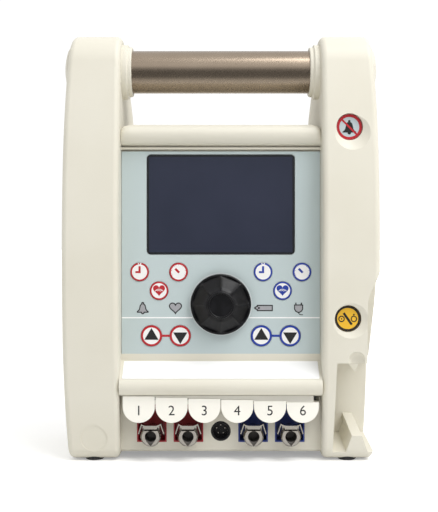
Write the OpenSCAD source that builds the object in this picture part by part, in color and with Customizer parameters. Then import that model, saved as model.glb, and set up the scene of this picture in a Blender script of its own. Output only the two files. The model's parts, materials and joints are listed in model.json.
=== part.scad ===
// Pneumatic tourniquet system: two hollow columns joined by a tubular handle,
// with a display, keys, a knob, hose ports and pull-out cards between them.
// X points right, Y points to the back and Z points up.
// The origin is under the middle of the whole object, on the table.

/* [Columns] */
// Greatest distance between the outer faces of the columns
body_w = 237; // [232:0.2:242]
// Distance between the inner faces of the columns
bay_w = 152; // [148:1:156]
// Depth of a column from front to back
column_d = 130; // [126:1:136]
// Radius of the long bow of the column front
bow_r = 945; // [900:5:1000]
// Height of the foremost point of the bow
bow_z = 150; // [140:1:160]
// How far the outer faces draw in towards the column ends
end_draw = 3.9; // [2:0.1:5]
// Height at which the columns are widest
widest_z = 158; // [150:1:170]
// Radius of the rounded edges of a column
column_edge_r = 4.5; // [3:0.5:6]
// Radius of the lower corners of a column in the side view
toe_r = 10; // [8:1:12]
// Radius of the rear shoulder of a column
shoulder_r = 22; // [16:1:24]
// Height of the centre of the rear shoulder
shoulder_z = 258; // [250:1:264]
// Wall of the hollow columns
column_wall = 3; // [2.5:0.1:3.5]
// Gap between the columns and the table, bridged by the rubber feet
foot_stand = 1.2; // [1:0.1:2]
// Radius of a rubber foot
foot_r = 7; // [5:0.5:8]
// Depth of the seat of a rubber foot
foot_seat = 2; // [1.5:0.1:2.5]

/* [Handle] */
// Room for fingers between the housing top and the handle tube
grip_gap = 26.8; // [24:0.2:29]
// Distance of the handle axis behind the foremost line of the columns
handle_d = 39; // [36:0.5:42]
// Outer radius of the handle tube
tube_r = 16.4; // [14:0.2:17]
// Wall of the handle tube
tube_wall = 2.6; // [2:0.1:3]
// Radius of the collar flange on the inner face of a column
collar_r = 21; // [19:0.5:22]
// Radius of the raised ring of a collar
collar_ring_r = 19.2; // [18:0.1:19.5]
// Thickness of the collar flange
collar_flange = 4.3; // [3:0.1:5]
// Distance that the collar ring stands out from the column
collar_reach = 7.6; // [6:0.1:9]
// Radius of an end cap
cap_r = 18; // [17:0.5:19]
// Distance that an end cap reaches beyond the outer face
cap_reach = 5; // [4:0.2:8]
// Depth of the end cap's seat in the outer face
cap_seat = 3; // [2:0.5:4]

/* [Right column] */
// Distance of the hose recess from the middle of the object
recess_x = 109; // [107:0.5:110]
// Height at which the hose recess starts to cut in
recess_top_z = 150; // [145:1:155]
// Height at which the hose recess has its full depth
recess_full_z = 118; // [112:1:124]
// Depth of the hose pocket behind the foremost line
pocket_d = 66; // [60:1:72]
// Height of the ceiling of the hose pocket
pocket_top_z = 74.7; // [70:0.5:78]
// Distance of the pocket wall from the middle, at the ceiling
pocket_x = 86.6; // [86:0.2:88]
// How far the pocket wall leans in towards the bottom
pocket_lean = 2.7; // [1:0.1:3]
// Height of the pocket floor at the front
pocket_floor_z = 5.8; // [5.6:0.1:9]
// Rise of the pocket floor from front to back
pocket_rise = 5.8; // [3:0.1:6]
// Distance of the hook's middle line from the middle of the object
hook_x = 102.2; // [100:0.2:104]
// Width of the hook at its top
hook_top_w = 7.6; // [7:0.1:10]
// Width of the hook at the pocket floor
hook_foot_w = 17; // [15:0.5:20]
// Height of the hook's top at the front
hook_z = 19.6; // [18:0.2:24]
// Rise of the hook's top from front to back
hook_rise = 7.8; // [5:0.1:9]
// Radius of the scoop above the pocket, at the column front
scoop_r = 6.3; // [5:0.1:7]
// Depth of the scoop above the pocket
scoop_depth = 4.2; // [3:0.1:5]

/* [Side buttons] */
// Radius of the alarm silence and standby buttons
side_button_r = 9.75; // [9:0.05:10.5]
// Travel of a side button
side_button_travel = 1.2; // [0.8:0.1:1.5]
// Radius of the dish around a side button
dish_r = 13.3; // [12.5:0.1:14]
// Depth of the dish
dish_depth = 4; // [3:0.1:4.5]
// How far the alarm silence button sits inwards of the column's middle line
silence_in = 0.85; // [0:0.05:2]
// Height of the alarm silence button
silence_z = 251.3; // [240:0.5:256]
// How far the standby button sits outwards of the middle of the column's hollow
standby_out = 2.1; // [1:0.05:3]
// Height of the standby button
standby_z = 108; // [107:0.5:112]

/* [Housing] */
// Height of the housing floor above the table
housing_z = 5.6; // [5:0.2:7]
// Height of the housing top
housing_top_z = 254.4; // [252:0.2:258]
// Wall of the housings
wall = 3; // [2.5:0.1:3.2]
// Depth of the joint between front and rear housing
split_d = 60; // [57:1:61]
// Depth of the rear housing's back face
rear_d = 124; // [122:0.5:126]
// Radius of the rounded top edge of the rear housing
rear_edge_r = 12; // [8:1:14]
// Distance of the port face behind the foremost line
port_d = 20; // [19:0.5:21]
// Distance of the control panel behind the foremost line
panel_d = 22; // [21.5:0.1:23]
// Radius of the brow bar above the panel
brow_r = 7.6; // [6:0.2:8]
// Distance of the brow's centre line behind the foremost line
brow_d = 21; // [20.5:0.1:22]
// Distance of the sill under the brow behind the foremost line
sill_d = 20.5; // [20:0.1:21]
// Radius of the chin bar above the card slot
chin_r = 7; // [6:0.2:7.4]
// Distance of the chin's centre line behind the foremost line
chin_d = 10.5; // [10:0.1:11.5]
// Height of the chin's centre line above the table
chin_z = 56.8; // [56.5:0.1:57.5]
// Slope of the label face above the chin
label_slope = 38; // [34:1:42]
// Length of the label
label_w = 147.6; // [140:0.2:150]
// Width of the label along the slope
label_h = 18.4; // [15:0.2:19]
// Thickness of the label
label_t = 0.5; // [0.3:0.1:1]
// Sheet thickness of the chassis
sheet = 1.6; // [1:0.1:2]

/* [Control panel] */
// Thickness of the control panel overlay
overlay_t = 1.5; // [1.2:0.1:2]
// Height of the lower edge of the control panel
overlay_z = 79.8; // [79:0.1:81]
// Height of the upper edge of the control panel
overlay_top_z = 235.2; // [235:0.1:237]
// Width of the display lens
lens_w = 112.8; // [108:0.2:116]
// Height of the display lens
lens_h = 76.1; // [72:0.1:77]
// Height of the centre of the display lens
lens_z = 193.7; // [193:0.1:195]
// Thickness of the display lens
lens_t = 1.2; // [1:0.1:1.4]
// Clearance around the keys, buttons and lens
fit_gap = 0.3; // [0.2:0.05:0.4]
// Distance that the keys stand out from the panel
key_proud = 0.6; // [0.4:0.1:1]
// Travel of a key
key_travel = 0.6; // [0.4:0.1:0.7]
// Radius of a round key
key_r = 7; // [6:0.1:7.4]
// Radius of an arrow key
arrow_r = 8; // [7:0.1:8.4]
// Distance of each channel's keys from the middle
channel_x = 47.1; // [46.5:0.1:48]
// Spacing of the time key and the pressure key
key_spacing = 29.7; // [28:0.1:30.5]
// Height of the time and pressure keys
key_row_z = 142.2; // [141.5:0.1:143]
// Height of the pulse keys
pulse_row_z = 127.9; // [127:0.1:129]
// Distance of the middle of an arrow pair from the middle
arrow_pair_x = 41.9; // [41.5:0.1:43]
// Spacing of the two arrow keys of a pair
arrow_spacing = 22; // [20:0.1:23]
// Height of the arrow keys
arrow_row_z = 93.5; // [92.5:0.1:94]

/* [Knob] */
// Radius of the control knob
knob_r = 23; // [21:0.5:24]
// Height of the control knob
knob_h = 15.5; // [13:0.5:17]
// Height of the knob's centre above the table
knob_z = 117.7; // [117:0.1:118.5]
// Gap between the knob and the panel
knob_gap = 0.5; // [0.4:0.1:0.8]
// Radius of the knob's hub
hub_r = 10.1; // [9:0.1:11]
// Number of finger flutes around the knob
flutes = 8; // [8:1:9]
// Radius of the encoder shaft
shaft_r = 3; // [2.5:0.1:3.5]
// Radial clearance of turning shafts
run_gap = 0.05; // [0.02:0.01:0.08]

/* [Ports] */
// Distance of the inner hose ports from the middle
inner_port_x = 24.6; // [24:0.1:25.2]
// Distance of the outer hose ports from the middle
outer_port_x = 52.5; // [51.5:0.1:53.5]
// Height of the hose couplings
port_z = 19.5; // [19.2:0.1:20]
// Distance of the coupling mouths behind the foremost line
port_mouth_d = 6; // [4:0.5:7]
// Bore radius of a coupling
port_bore_r = 4.3; // [4:0.1:4.6]
// Depth of a coupling's bore
port_bore_depth = 16; // [12:0.5:20]
// Radius of the coupling's collar
port_collar_r = 7.5; // [7:0.1:8]
// Width of a port insert
insert_w = 22.6; // [21:0.2:24]
// Height of the lower edge of the port inserts
insert_z = 12.8; // [12.4:0.1:13]
// Height of the upper edge of the port inserts
insert_top_z = 41.4; // [40:0.1:42]
// Depth of a port insert
insert_depth = 14; // [12:0.5:16]
// Wall of a port insert
insert_wall = 1.2; // [1:0.1:1.4]
// Travel of a thumb latch
latch_travel = 1; // [0.6:0.1:1.2]
// Outer radius of the sensor socket
socket_r = 7.6; // [7:0.1:8]
// Bore radius of the sensor socket
socket_bore_r = 6; // [5.5:0.1:6.2]
// Depth of the sensor socket's bore
socket_bore_l = 6.6; // [6:0.1:8]
// Height of the sensor socket
socket_z = 21.2; // [20.5:0.1:22]

/* [Cards] */
// Number of information cards
cards = 6; // [6:1:6]
// Spacing of the card tabs
card_pitch = 24.6; // [24.2:0.1:24.7]
// Gap between two neighbouring tabs
tab_gap = 0.5; // [0.4:0.1:0.8]
// Thickness of a card
card_t = 0.6; // [0.5:0.05:0.65]
// Length of a card from its tab to its rear edge
card_l = 90; // [80:1:92]
// Distance of the tabs behind the foremost line
tab_d = 8.4; // [8.2:0.1:9]
// Height of the lower end of the tabs
tab_z = 29.5; // [29.4:0.1:30]
// Height of the card slot
slot_h = 5.6; // [5.6:0.1:5.8]
// Width of the card slot
slot_w = 149; // [148.4:0.1:149.4]

/* [Pole clamp] */
// Height of the middle of the pole clamp
clamp_z = 160; // [155:1:165]
// Height of the clamp jaw along the pole
clamp_h = 52; // [44:1:60]
// Distance from the housing to the end of the clamp
clamp_reach = 44; // [42:1:50]
// Radius of the pole that the fixed jaw is shaped for
pole_r = 12.7; // [11:0.1:14]
// Thickness of the clamp's mounting plate
clamp_plate = 6; // [5:0.5:7]
// Travel of the clamp pad
pad_travel = 18; // [14:1:19]
// Radius of the clamp screw
screw_r = 4.5; // [4:0.1:5]
// Radius of the clamp knob
clamp_knob_r = 17; // [14:0.5:18]

/* [Hidden] */
$fn = 48;

// Colours
cream = [0.90, 0.88, 0.80];
bronze = [0.58, 0.50, 0.42];
panel_blue = [0.72, 0.77, 0.78];
red = [0.72, 0.12, 0.16];
blue = [0.12, 0.22, 0.58];
nickel = [0.72, 0.71, 0.68];
steel = [0.70, 0.71, 0.72];
dark = [0.16, 0.16, 0.18];
board_green = [0.10, 0.40, 0.22];

// Cuts reach this far past the surface that they open
over = 1;
side_w = bay_w / 2;
handle_z = housing_top_z + grip_gap + tube_r;
front_y = -(rear_d + clamp_reach) / 2;

// Y of a point that lies a distance behind the foremost line of the columns
function deep(d) = front_y + d;

// A row of points on an arc in the side view
function arc(centre, radius, from, to, steps) =
    [for (i = [0:steps]) let (a = from + (to - from) * i / steps) centre + radius * [cos(a), sin(a)]];

// Evenly spaced places on both sides of zero
function centred_row(count, pitch) = [for (i = [0:count - 1]) (i - (count - 1) / 2) * pitch];

// A list without its first and last entry
function inner_points(row) = [for (i = [1:len(row) - 2]) row[i]];

// Centres, radii and tangent angles of the arcs of a column's side view
bow_c = [deep(bow_r), bow_z];
crown_c = [deep(handle_d), handle_z];
crown_r = bow_r - norm(crown_c - bow_c);
crown_top_z = handle_z + crown_r;
toe_z = foot_stand + toe_r;
toe_c = [bow_c[0] - sqrt(pow(bow_r - toe_r, 2) - pow(bow_z - toe_z, 2)), toe_z];
heel_c = [deep(column_d) - toe_r, toe_z];
shoulder_c = [deep(column_d) - shoulder_r, shoulder_z];
crown_a = atan2(crown_c[1] - bow_c[1], crown_c[0] - bow_c[0]);
toe_a = 360 + atan2(toe_c[1] - bow_c[1], toe_c[0] - bow_c[0]);
back_line = shoulder_c - crown_c;
back_a = atan2(back_line[1], back_line[0]) + acos((crown_r - shoulder_r) / norm(back_line));

// The side view of a column, drawn in by an inset: up the front, over the crown and down the back
long_steps = 12;
function column_outline(inset) = concat(
    arc(toe_c, toe_r - inset, 270, toe_a, 5),
    inner_points(arc(bow_c, bow_r - inset, toe_a, crown_a, long_steps)),
    arc(crown_c, crown_r - inset, crown_a, back_a, 14),
    arc(shoulder_c, shoulder_r - inset, back_a, 0, 6),
    [for (i = [1:long_steps - 1])
        [deep(column_d) - inset, shoulder_z + (toe_z - shoulder_z) * i / long_steps]],
    arc(heel_c, toe_r - inset, 0, -90, 5)
);

// Y of the column front at a height, and X of a column's outer face
function bow_y(z) = bow_c[0] - sqrt(pow(bow_r, 2) - pow(z - bow_z, 2));
function outer_x(z) = body_w / 2 - end_draw * pow(abs(z - widest_z) / widest_z, 3);

// Inset and distance from the face at each step around a rounded edge
edge_steps = 3;
function edge_inset(s) = column_edge_r * (1 - cos(90 * s / edge_steps));
function edge_away(s) = column_edge_r * (1 - sin(90 * s / edge_steps));

// Boxes, rods and extrusions that are placed by their limits
module block(low, high) {
    translate(low) cube(high - low);
}
module along_x(from, to) {
    translate([from, 0, 0]) rotate([90, 0, 90]) linear_extrude(to - from) children();
}
module along_y(from, to) {
    translate([0, to, 0]) rotate([90, 0, 0]) linear_extrude(to - from) children();
}
module rod_x(r, from, to, y, z) {
    translate([from, y, z]) rotate([0, 90, 0]) cylinder(r = r, h = to - from);
}
module rod_y(r, from, to, x, z) {
    translate([x, to, z]) rotate([90, 0, 0]) cylinder(r = r, h = to - from);
}
// Children that are turned about a forward-pointing axis
module facing_front(x, y, z) {
    translate([x, y, z]) rotate([90, 0, 0]) children();
}
module both_sides() {
    children();
    mirror([1, 0, 0]) children();
}

// Triangles across a ring of points, from its bottom to its top, for the slightly bowed outer face
function bowed_face(heights, i, j) = j - i < 2 ? [] :
    heights[i + 1] < heights[j - 1] ? concat([[i, i + 1, j]], bowed_face(heights, i + 1, j))
    : concat([[i, j - 1, j]], bowed_face(heights, i, j - 1));

// The solid form of the right column, as rings of points from its inner to its outer face
module column_form() {
    inner = [for (s = [edge_steps:-1:0]) for (p = column_outline(edge_inset(s)))
        [side_w + edge_away(s), p[0], p[1]]];
    outer = [for (s = [0:edge_steps]) for (p = column_outline(edge_inset(s)))
        [outer_x(p[1]) - edge_away(s), p[0], p[1]]];
    n = len(column_outline(0));
    rings = 2 * (edge_steps + 1);
    bands = [for (j = [0:rings - 2]) for (i = [0:n - 1]) let (a = j * n + i, b = j * n + (i + 1) % n)
        for (t = [[a, b, b + n], [a, b + n, a + n]]) t];
    inner_cap = [for (i = [n - 1:-1:0]) i];
    heights = [for (p = column_outline(column_edge_r)) p[1]];
    outer_cap = [for (t = bowed_face(heights, 0, n - 1)) t + (rings - 1) * n * [1, 1, 1]];
    polyhedron(points = concat(inner, outer), faces = concat(bands, [inner_cap], outer_cap), convexity = 4);
}

// Places of the rubber feet and of the screws between chassis and columns
column_mid_x = (side_w + body_w / 2) / 2;
foot_x = column_mid_x - 1.25;
foot_ys = [deep(22), deep(column_d - 18)];
side_screw_ys = [deep(45), deep(105)];
side_screw_zs = [60, 225];
thread_r = 1.9;
screw_head_r = 3.6;
screw_head_h = 2.2;
side_screw_l = 12;
rear_screw_l = 8;
screw_hole_r = thread_r + 0.1;
screw_seat_x = side_w - wall - sheet;
handle_hole_r = tube_r + 0.1;
cap_x = outer_x(handle_z) - cap_seat;
cap_hole_r = cap_r + 0.1;
wire_window = [[deep(50), 100], [deep(100), 210]];

// What both columns have cut out of them
module column_openings() {
    rod_x(handle_hole_r, side_w - over, body_w / 2 + over, deep(handle_d), handle_z);
    rod_x(cap_hole_r, cap_x, body_w / 2 + over, deep(handle_d), handle_z);
    for (y = foot_ys)
        translate([foot_x, y, 0]) cylinder(r = foot_r + 0.1, h = foot_stand + foot_seat);
    for (y = side_screw_ys)
        for (z = side_screw_zs)
            rod_x(screw_hole_r, side_w - over, screw_seat_x + side_screw_l + 0.5, y, z);
    block([side_w - over, wire_window[0][0], wire_window[0][1]],
        [side_w + column_wall + over, wire_window[1][0], wire_window[1][1]]);
}

// Where the cavity is filled around a foot's seat
module foot_boss(y) {
    translate([foot_x, y, 0]) cylinder(r = foot_r + column_wall, h = foot_stand + foot_seat + column_wall);
}

// Where the cavity is filled around the handle bore, to hold the tube and the cap
tube_boss_r = cap_hole_r + column_wall;
module handle_boss(to_x) {
    rod_x(tube_boss_r, side_w, to_x, deep(handle_d), handle_z);
}

column_cavity_x = outer_x(0) - column_wall;
badge_r = 10;
badge_x = column_mid_x - 2.05;
badge_z = 17.7;
badge_depth = 0.5;
badge_lean = asin((bow_z - badge_z) / bow_r);

module left_column() {
    color(cream) mirror([1, 0, 0]) difference() {
        column_form();
        difference() {
            along_x(side_w + column_wall, column_cavity_x) polygon(column_outline(column_wall));
            handle_boss(body_w / 2);
            for (y = foot_ys) foot_boss(y);
        }
        column_openings();
        translate([badge_x, bow_y(badge_z), badge_z]) rotate([90 + badge_lean, 0, 0])
            translate([0, 0, -badge_depth]) cylinder(r = badge_r, h = badge_depth + over);
    }
}

// The hose pocket and recess: a front outline and a side outline that both have to hold
pocket_back_y = deep(pocket_d);
recess_lead_d = 30;
recess_foot_d = 57;
pocket_foot_x = pocket_x - pocket_lean;
recess_curve = [for (i = [0:8]) let (t = i / 8)
    [recess_x + (outer_x(recess_top_z) + over - recess_x) * (1 - cos(180 * t)) / 2,
     recess_full_z + (recess_top_z - recess_full_z) * t]];
module pocket_front_view() {
    polygon(concat(
        [[pocket_foot_x, pocket_floor_z - over], [pocket_x, pocket_top_z], [recess_x, pocket_top_z]],
        recess_curve,
        [[body_w / 2 + 2 * over, recess_top_z], [body_w / 2 + 2 * over, pocket_floor_z - over]]));
}
module pocket_side_view() {
    polygon([
        [front_y - over, pocket_floor_z], [pocket_back_y, pocket_floor_z + pocket_rise],
        [pocket_back_y, pocket_top_z], [deep(recess_foot_d), pocket_top_z],
        [deep(recess_lead_d), recess_full_z],
        [deep(recess_lead_d / 2), recess_top_z + over], [front_y - over, recess_top_z + over]]);
}
// The hook that stands on the pocket floor
module hook() {
    intersection() {
        along_y(front_y - 2 * over, pocket_back_y + over) polygon([
            [hook_x - hook_foot_w / 2, 0], [hook_x - hook_foot_w / 2, pocket_floor_z],
            [hook_x - hook_top_w / 2, hook_z], [hook_x - hook_top_w / 2, hook_z + hook_rise],
            [hook_x + hook_top_w / 2, hook_z + hook_rise], [hook_x + hook_top_w / 2, hook_z],
            [hook_x + hook_foot_w / 2, pocket_floor_z], [hook_x + hook_foot_w / 2, 0]]);
        along_x(side_w, body_w / 2 + over) polygon([
            [front_y - 2 * over, 0], [front_y - 2 * over, hook_z], [deep(toe_r), hook_z],
            [pocket_back_y + over, hook_z + hook_rise], [pocket_back_y + over, 0]]);
    }
}
// The small gusset that hangs from the pocket ceiling, its front face leaning back
gusset_w = 8;
gusset_drop = 8.2;
gusset_front_y = deep(8);
gusset_back_y = deep(18);
gusset_left_x = hook_x - 7;
module gusset() {
    intersection() {
        along_y(gusset_front_y, gusset_back_y) polygon([
            [gusset_left_x, pocket_top_z + over], [gusset_left_x, pocket_top_z],
            [gusset_left_x + 0.8 * gusset_w, pocket_top_z - gusset_drop],
            [gusset_left_x + gusset_w, pocket_top_z], [gusset_left_x + gusset_w, pocket_top_z + over]]);
        along_x(side_w, body_w / 2) polygon([
            [gusset_front_y, pocket_top_z + over], [gusset_front_y, pocket_top_z - 1],
            [gusset_back_y, pocket_top_z - gusset_drop - over], [gusset_back_y, pocket_top_z + over]]);
    }
}
module pocket_cut() {
    difference() {
        intersection() {
            along_y(front_y - over, pocket_back_y + over) pocket_front_view();
            along_x(side_w, body_w / 2 + 2 * over) pocket_side_view();
        }
        hook();
        gusset();
    }
}
// Radius of a ball that cuts a dish of a given rim radius and depth
function ball_r(rim, depth) = (rim * rim + depth * depth) / (2 * depth);
scoop_z = pocket_top_z + 2.3;
scoop_x = hook_x - 1;
module scoop() {
    translate([scoop_x, bow_y(scoop_z) + scoop_depth - ball_r(scoop_r, scoop_depth), scoop_z])
        sphere(r = ball_r(scoop_r, scoop_depth));
}

// Side buttons: each sits on the floor of a dish whose rim is set off downwards and outwards
right_cavity_x = recess_x - column_wall;
hollow_out_x = min(right_cavity_x, column_cavity_x);
silence_x = column_mid_x - silence_in;
standby_x = (side_w + column_wall + hollow_out_x) / 2 + standby_out;
dish_shift = [2, -2.4];
button_hole_r = side_button_r + fit_gap;
button_rim_r = side_button_r + 1.2;
button_rim_t = 1.2;
button_floor = 3;
button_boss_r = dish_r + column_wall;
function button_face_y(z) = bow_y(z) + dish_depth;
module button_dish(x, z) {
    rim_z = z + dish_shift[1];
    translate([x + dish_shift[0], bow_y(rim_z) + dish_depth - ball_r(dish_r, dish_depth), rim_z])
        sphere(r = ball_r(dish_r, dish_depth));
    rod_y(button_hole_r, front_y - over, button_face_y(z) + button_floor + over, x, z);
    rim_room_y = button_face_y(z) + button_floor + button_rim_t + side_button_travel + fit_gap;
    rod_y(button_rim_r + fit_gap, button_face_y(z) + button_floor, rim_room_y, x, z);
}
module button_boss(x, z) {
    rod_y(button_boss_r, front_y - over, button_face_y(z) + button_floor, x, z);
}

right_cavity_z = scoop_z + scoop_r + column_wall;
wide_cavity_z = recess_top_z + column_wall;
module right_cavity() {
    difference() {
        intersection() {
            along_x(side_w + column_wall, column_cavity_x) polygon(column_outline(column_wall));
            union() {
                block([side_w, front_y, right_cavity_z], [right_cavity_x, deep(column_d), crown_top_z]);
                block([side_w, front_y, wide_cavity_z], [column_cavity_x, deep(column_d), crown_top_z]);
                block([side_w, pocket_back_y + column_wall, 0],
                    [right_cavity_x, deep(column_d), crown_top_z]);
            }
        }
        handle_boss(body_w / 2);
        button_boss(silence_x, silence_z);
        button_boss(standby_x, standby_z);
        foot_boss(foot_ys[1]);
    }
}

module right_column() {
    color(cream) difference() {
        column_form();
        right_cavity();
        column_openings();
        pocket_cut();
        scoop();
        button_dish(silence_x, silence_z);
        button_dish(standby_x, standby_z);
    }
}

// Handle
module handle_tube() {
    color(bronze) difference() {
        rod_x(tube_r, 0.1 - cap_x, cap_x - 0.1, deep(handle_d), handle_z);
        rod_x(tube_r - tube_wall, -cap_x - over, cap_x + over, deep(handle_d), handle_z);
    }
}
module handle_collars() {
    round_r = 1.5;
    rounding = [round_r, round_r];
    color(cream) both_sides() translate([side_w, deep(handle_d), handle_z]) rotate([0, -90, 0])
        rotate_extrude() polygon(concat(
            [[tube_r + 0.1, 0], [collar_r, 0]],
            arc([collar_r, collar_flange] - rounding, round_r, 0, 90, 4),
            [[collar_ring_r, collar_flange]],
            arc([collar_ring_r, collar_reach] - rounding, round_r, 0, 90, 4),
            [[tube_r + 0.1, collar_reach]]));
}
module handle_end_caps() {
    rim = cap_seat + 1.5;
    plug_l = 10;
    dome = cap_seat + cap_reach - rim;
    dome_r = ball_r(cap_r, dome);
    color(bronze) both_sides() translate([cap_x, deep(handle_d), handle_z]) rotate([0, 90, 0])
        rotate_extrude() polygon(concat(
            [[0, -plug_l], [tube_r - tube_wall - 0.1, -plug_l], [tube_r - tube_wall - 0.1, 0], [cap_r, 0]],
            [for (i = [0:8]) let (a = asin(cap_r / dome_r) * (1 - i / 8))
                [dome_r * sin(a), rim + dome - dome_r * (1 - cos(a))]]));
}

// Housings
housing_top_in = housing_top_z - wall;
overlay_back_d = panel_d + overlay_t;
slot_top_z = chin_z - chin_r;
slot_z = slot_top_z - slot_h;
chin_c = [deep(chin_d), chin_z];
brow_c = [deep(brow_d), housing_top_z - brow_r];
slope_a = 90 + label_slope;

// Height of the label face, or of a line under it, where it meets a depth
function label_line_z(radius, d) = let (p = chin_c + radius * [cos(slope_a), sin(slope_a)])
    p[1] + (deep(d) - p[0]) * tan(label_slope);

module front_outline() {
    polygon(concat(
        [[deep(split_d), housing_z], [deep(port_d) + 1.5, housing_z], [deep(port_d), housing_z + 1.5]],
        [[deep(port_d), slot_top_z]],
        arc(chin_c, chin_r, 270, slope_a, 12),
        [[deep(panel_d), label_line_z(chin_r, panel_d)], [deep(panel_d), overlay_z]],
        [[deep(overlay_back_d), overlay_z], [deep(overlay_back_d), overlay_top_z]],
        [[deep(sill_d), overlay_top_z], [deep(sill_d), brow_c[1] - brow_r]],
        arc(brow_c, brow_r, 270, 90, 14),
        [[deep(split_d), housing_top_z]]));
}
module front_cavity_outline() {
    inside_d = overlay_back_d + wall;
    polygon(concat(
        [[deep(split_d) + over, housing_z - over], [deep(port_d + wall), housing_z - over]],
        [[deep(port_d + wall), slot_top_z + wall]],
        arc(chin_c, chin_r - wall, 270, slope_a, 8),
        [[deep(inside_d), label_line_z(chin_r - wall, inside_d)]],
        [[deep(inside_d), housing_top_in], [deep(split_d) + over, housing_top_in]]));
}

// A rectangle with round corners, around its centre
module round_rect(w, h, r) {
    for (x = [r - w / 2, w / 2 - r])
        for (y = [r - h / 2, h / 2 - r])
            translate([x, y]) circle(r = r);
    square([w - 2 * r, h], center = true);
    square([w, h - 2 * r], center = true);
}

// Each key as [X, Z, radius]
time_x = channel_x + key_spacing / 2;
pressure_x = channel_x - key_spacing / 2;
arrow_out_x = arrow_pair_x + arrow_spacing / 2;
arrow_in_x = arrow_pair_x - arrow_spacing / 2;
left_keys = [
    [-time_x, key_row_z, key_r], [-pressure_x, key_row_z, key_r], [-channel_x, pulse_row_z, key_r],
    [-arrow_out_x, arrow_row_z, arrow_r], [-arrow_in_x, arrow_row_z, arrow_r]];
right_keys = [
    [pressure_x, key_row_z, key_r], [time_x, key_row_z, key_r], [channel_x, pulse_row_z, key_r],
    [arrow_in_x, arrow_row_z, arrow_r], [arrow_out_x, arrow_row_z, arrow_r]];
keys = concat(left_keys, right_keys);
stem_r = 4.5;
snap_r = 5.4;
snap_t = 1;
stem_hole_r = stem_r + 0.4;
bush_r = 4.5;
port_xs = [-outer_port_x, -inner_port_x, inner_port_x, outer_port_x];
lens_ledge = 1.5;
lens_corner_r = 3;

// Holes through the wall behind the control panel, and through the rear housing's back wall
wall_front_y = deep(overlay_back_d);
wall_back_y = deep(overlay_back_d + wall);
back_front_y = deep(rear_d - wall);
back_y = deep(rear_d);
module front_hole(r, x, z) {
    rod_y(r, wall_front_y - over, wall_back_y + over, x, z);
}
module rear_hole(r, x, z) {
    rod_y(r, back_front_y - over, back_y + over, x, z);
}
module rear_slot(w, h, x, z) {
    facing_front(x, back_y + over, z) linear_extrude(wall + 2 * over) round_rect(w, h, min(w, h) / 2 - 0.05);
}

module front_housing() {
    color(cream) difference() {
        along_x(-side_w, side_w) front_outline();
        along_x(-side_w + wall, side_w - wall) front_cavity_outline();
        block([-slot_w / 2, front_y, slot_z], [slot_w / 2, deep(port_d + wall) + over, slot_top_z]);
        facing_front(0, wall_back_y + over, lens_z) linear_extrude(wall + 2 * over)
            round_rect(lens_w - 2 * lens_ledge, lens_h - 2 * lens_ledge, lens_corner_r - lens_ledge / 2);
        for (key = keys)
            front_hole(stem_hole_r, key[0], key[1]);
        front_hole(bush_r + 0.1, 0, knob_z);
        for (x = port_xs)
            block([x - insert_w / 2, deep(port_d) - over, insert_z],
                [x + insert_w / 2, deep(port_d + wall) + over, insert_top_z]);
        rod_y(socket_r, deep(port_d) - over, deep(port_d + wall) + over, 0, socket_z);
        both_sides() for (z = side_screw_zs)
            rod_x(screw_hole_r, side_w - wall - over, side_w + over, side_screw_ys[0], z);
        both_sides() block([side_w - wall - over, wire_window[0][0], wire_window[0][1]],
            [side_w + over, deep(split_d) + over, wire_window[1][1]]);
    }
}

rear_corner_c = [deep(rear_d) - rear_edge_r, housing_top_z - rear_edge_r];
rear_screw_x = 66;
rear_screw_zs = [74, 213];
inlet_x = -45;
inlet_z = 74;
inlet_w = 27;
inlet_h = 20;
speaker_x = 38;
speaker_z = 212;
speaker_r = 17;
grille_slots = 5;
grille_pitch = 6;
grille_w = 24;
grille_h = 2.5;
vents = 9;
vent_pitch = 8;
vent_w = 3;
vent_z = 96;
vent_h = 22;
clamp_bolts = [for (x = [-21, 21]) for (z = [8 - clamp_h / 2, clamp_h / 2 - 8]) [x, clamp_z + z]];
bolt_r = 2.5;
bolt_hole_r = bolt_r + 0.1;

module rear_housing() {
    color(cream) difference() {
        along_x(-side_w, side_w) polygon(concat(
            [[deep(split_d), housing_z], [deep(split_d), housing_top_z]],
            arc(rear_corner_c, rear_edge_r, 90, 0, 8),
            [[deep(rear_d), housing_z]]));
        along_x(-side_w + wall, side_w - wall) polygon(concat(
            [[deep(split_d) - over, housing_z - over], [deep(split_d) - over, housing_top_in]],
            arc(rear_corner_c, rear_edge_r - wall, 90, 0, 8),
            [[back_front_y, housing_z - over]]));
        for (x = [-rear_screw_x, rear_screw_x])
            for (z = rear_screw_zs) {
                rear_hole(screw_hole_r, x, z);
                rod_y(screw_head_r + 0.1, back_y - screw_head_h, back_y + over, x, z);
            }
        block([inlet_x - inlet_w / 2, back_front_y - over, inlet_z - inlet_h / 2],
            [inlet_x + inlet_w / 2, back_y + over, inlet_z + inlet_h / 2]);
        for (z = centred_row(grille_slots, grille_pitch))
            rear_slot(grille_w, grille_h, speaker_x, speaker_z + z);
        for (x = centred_row(vents, vent_pitch))
            rear_slot(vent_w, vent_h, x, vent_z);
        for (bolt = clamp_bolts)
            rear_hole(bolt_hole_r, bolt[0], bolt[1]);
        both_sides() for (z = side_screw_zs)
            rod_x(screw_hole_r, side_w - wall - over, side_w + over, side_screw_ys[1], z);
        both_sides() block([side_w - wall - over, deep(split_d) - over, wire_window[0][1]],
            [side_w + over, wire_window[1][0], wire_window[1][1]]);
    }
}

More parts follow.
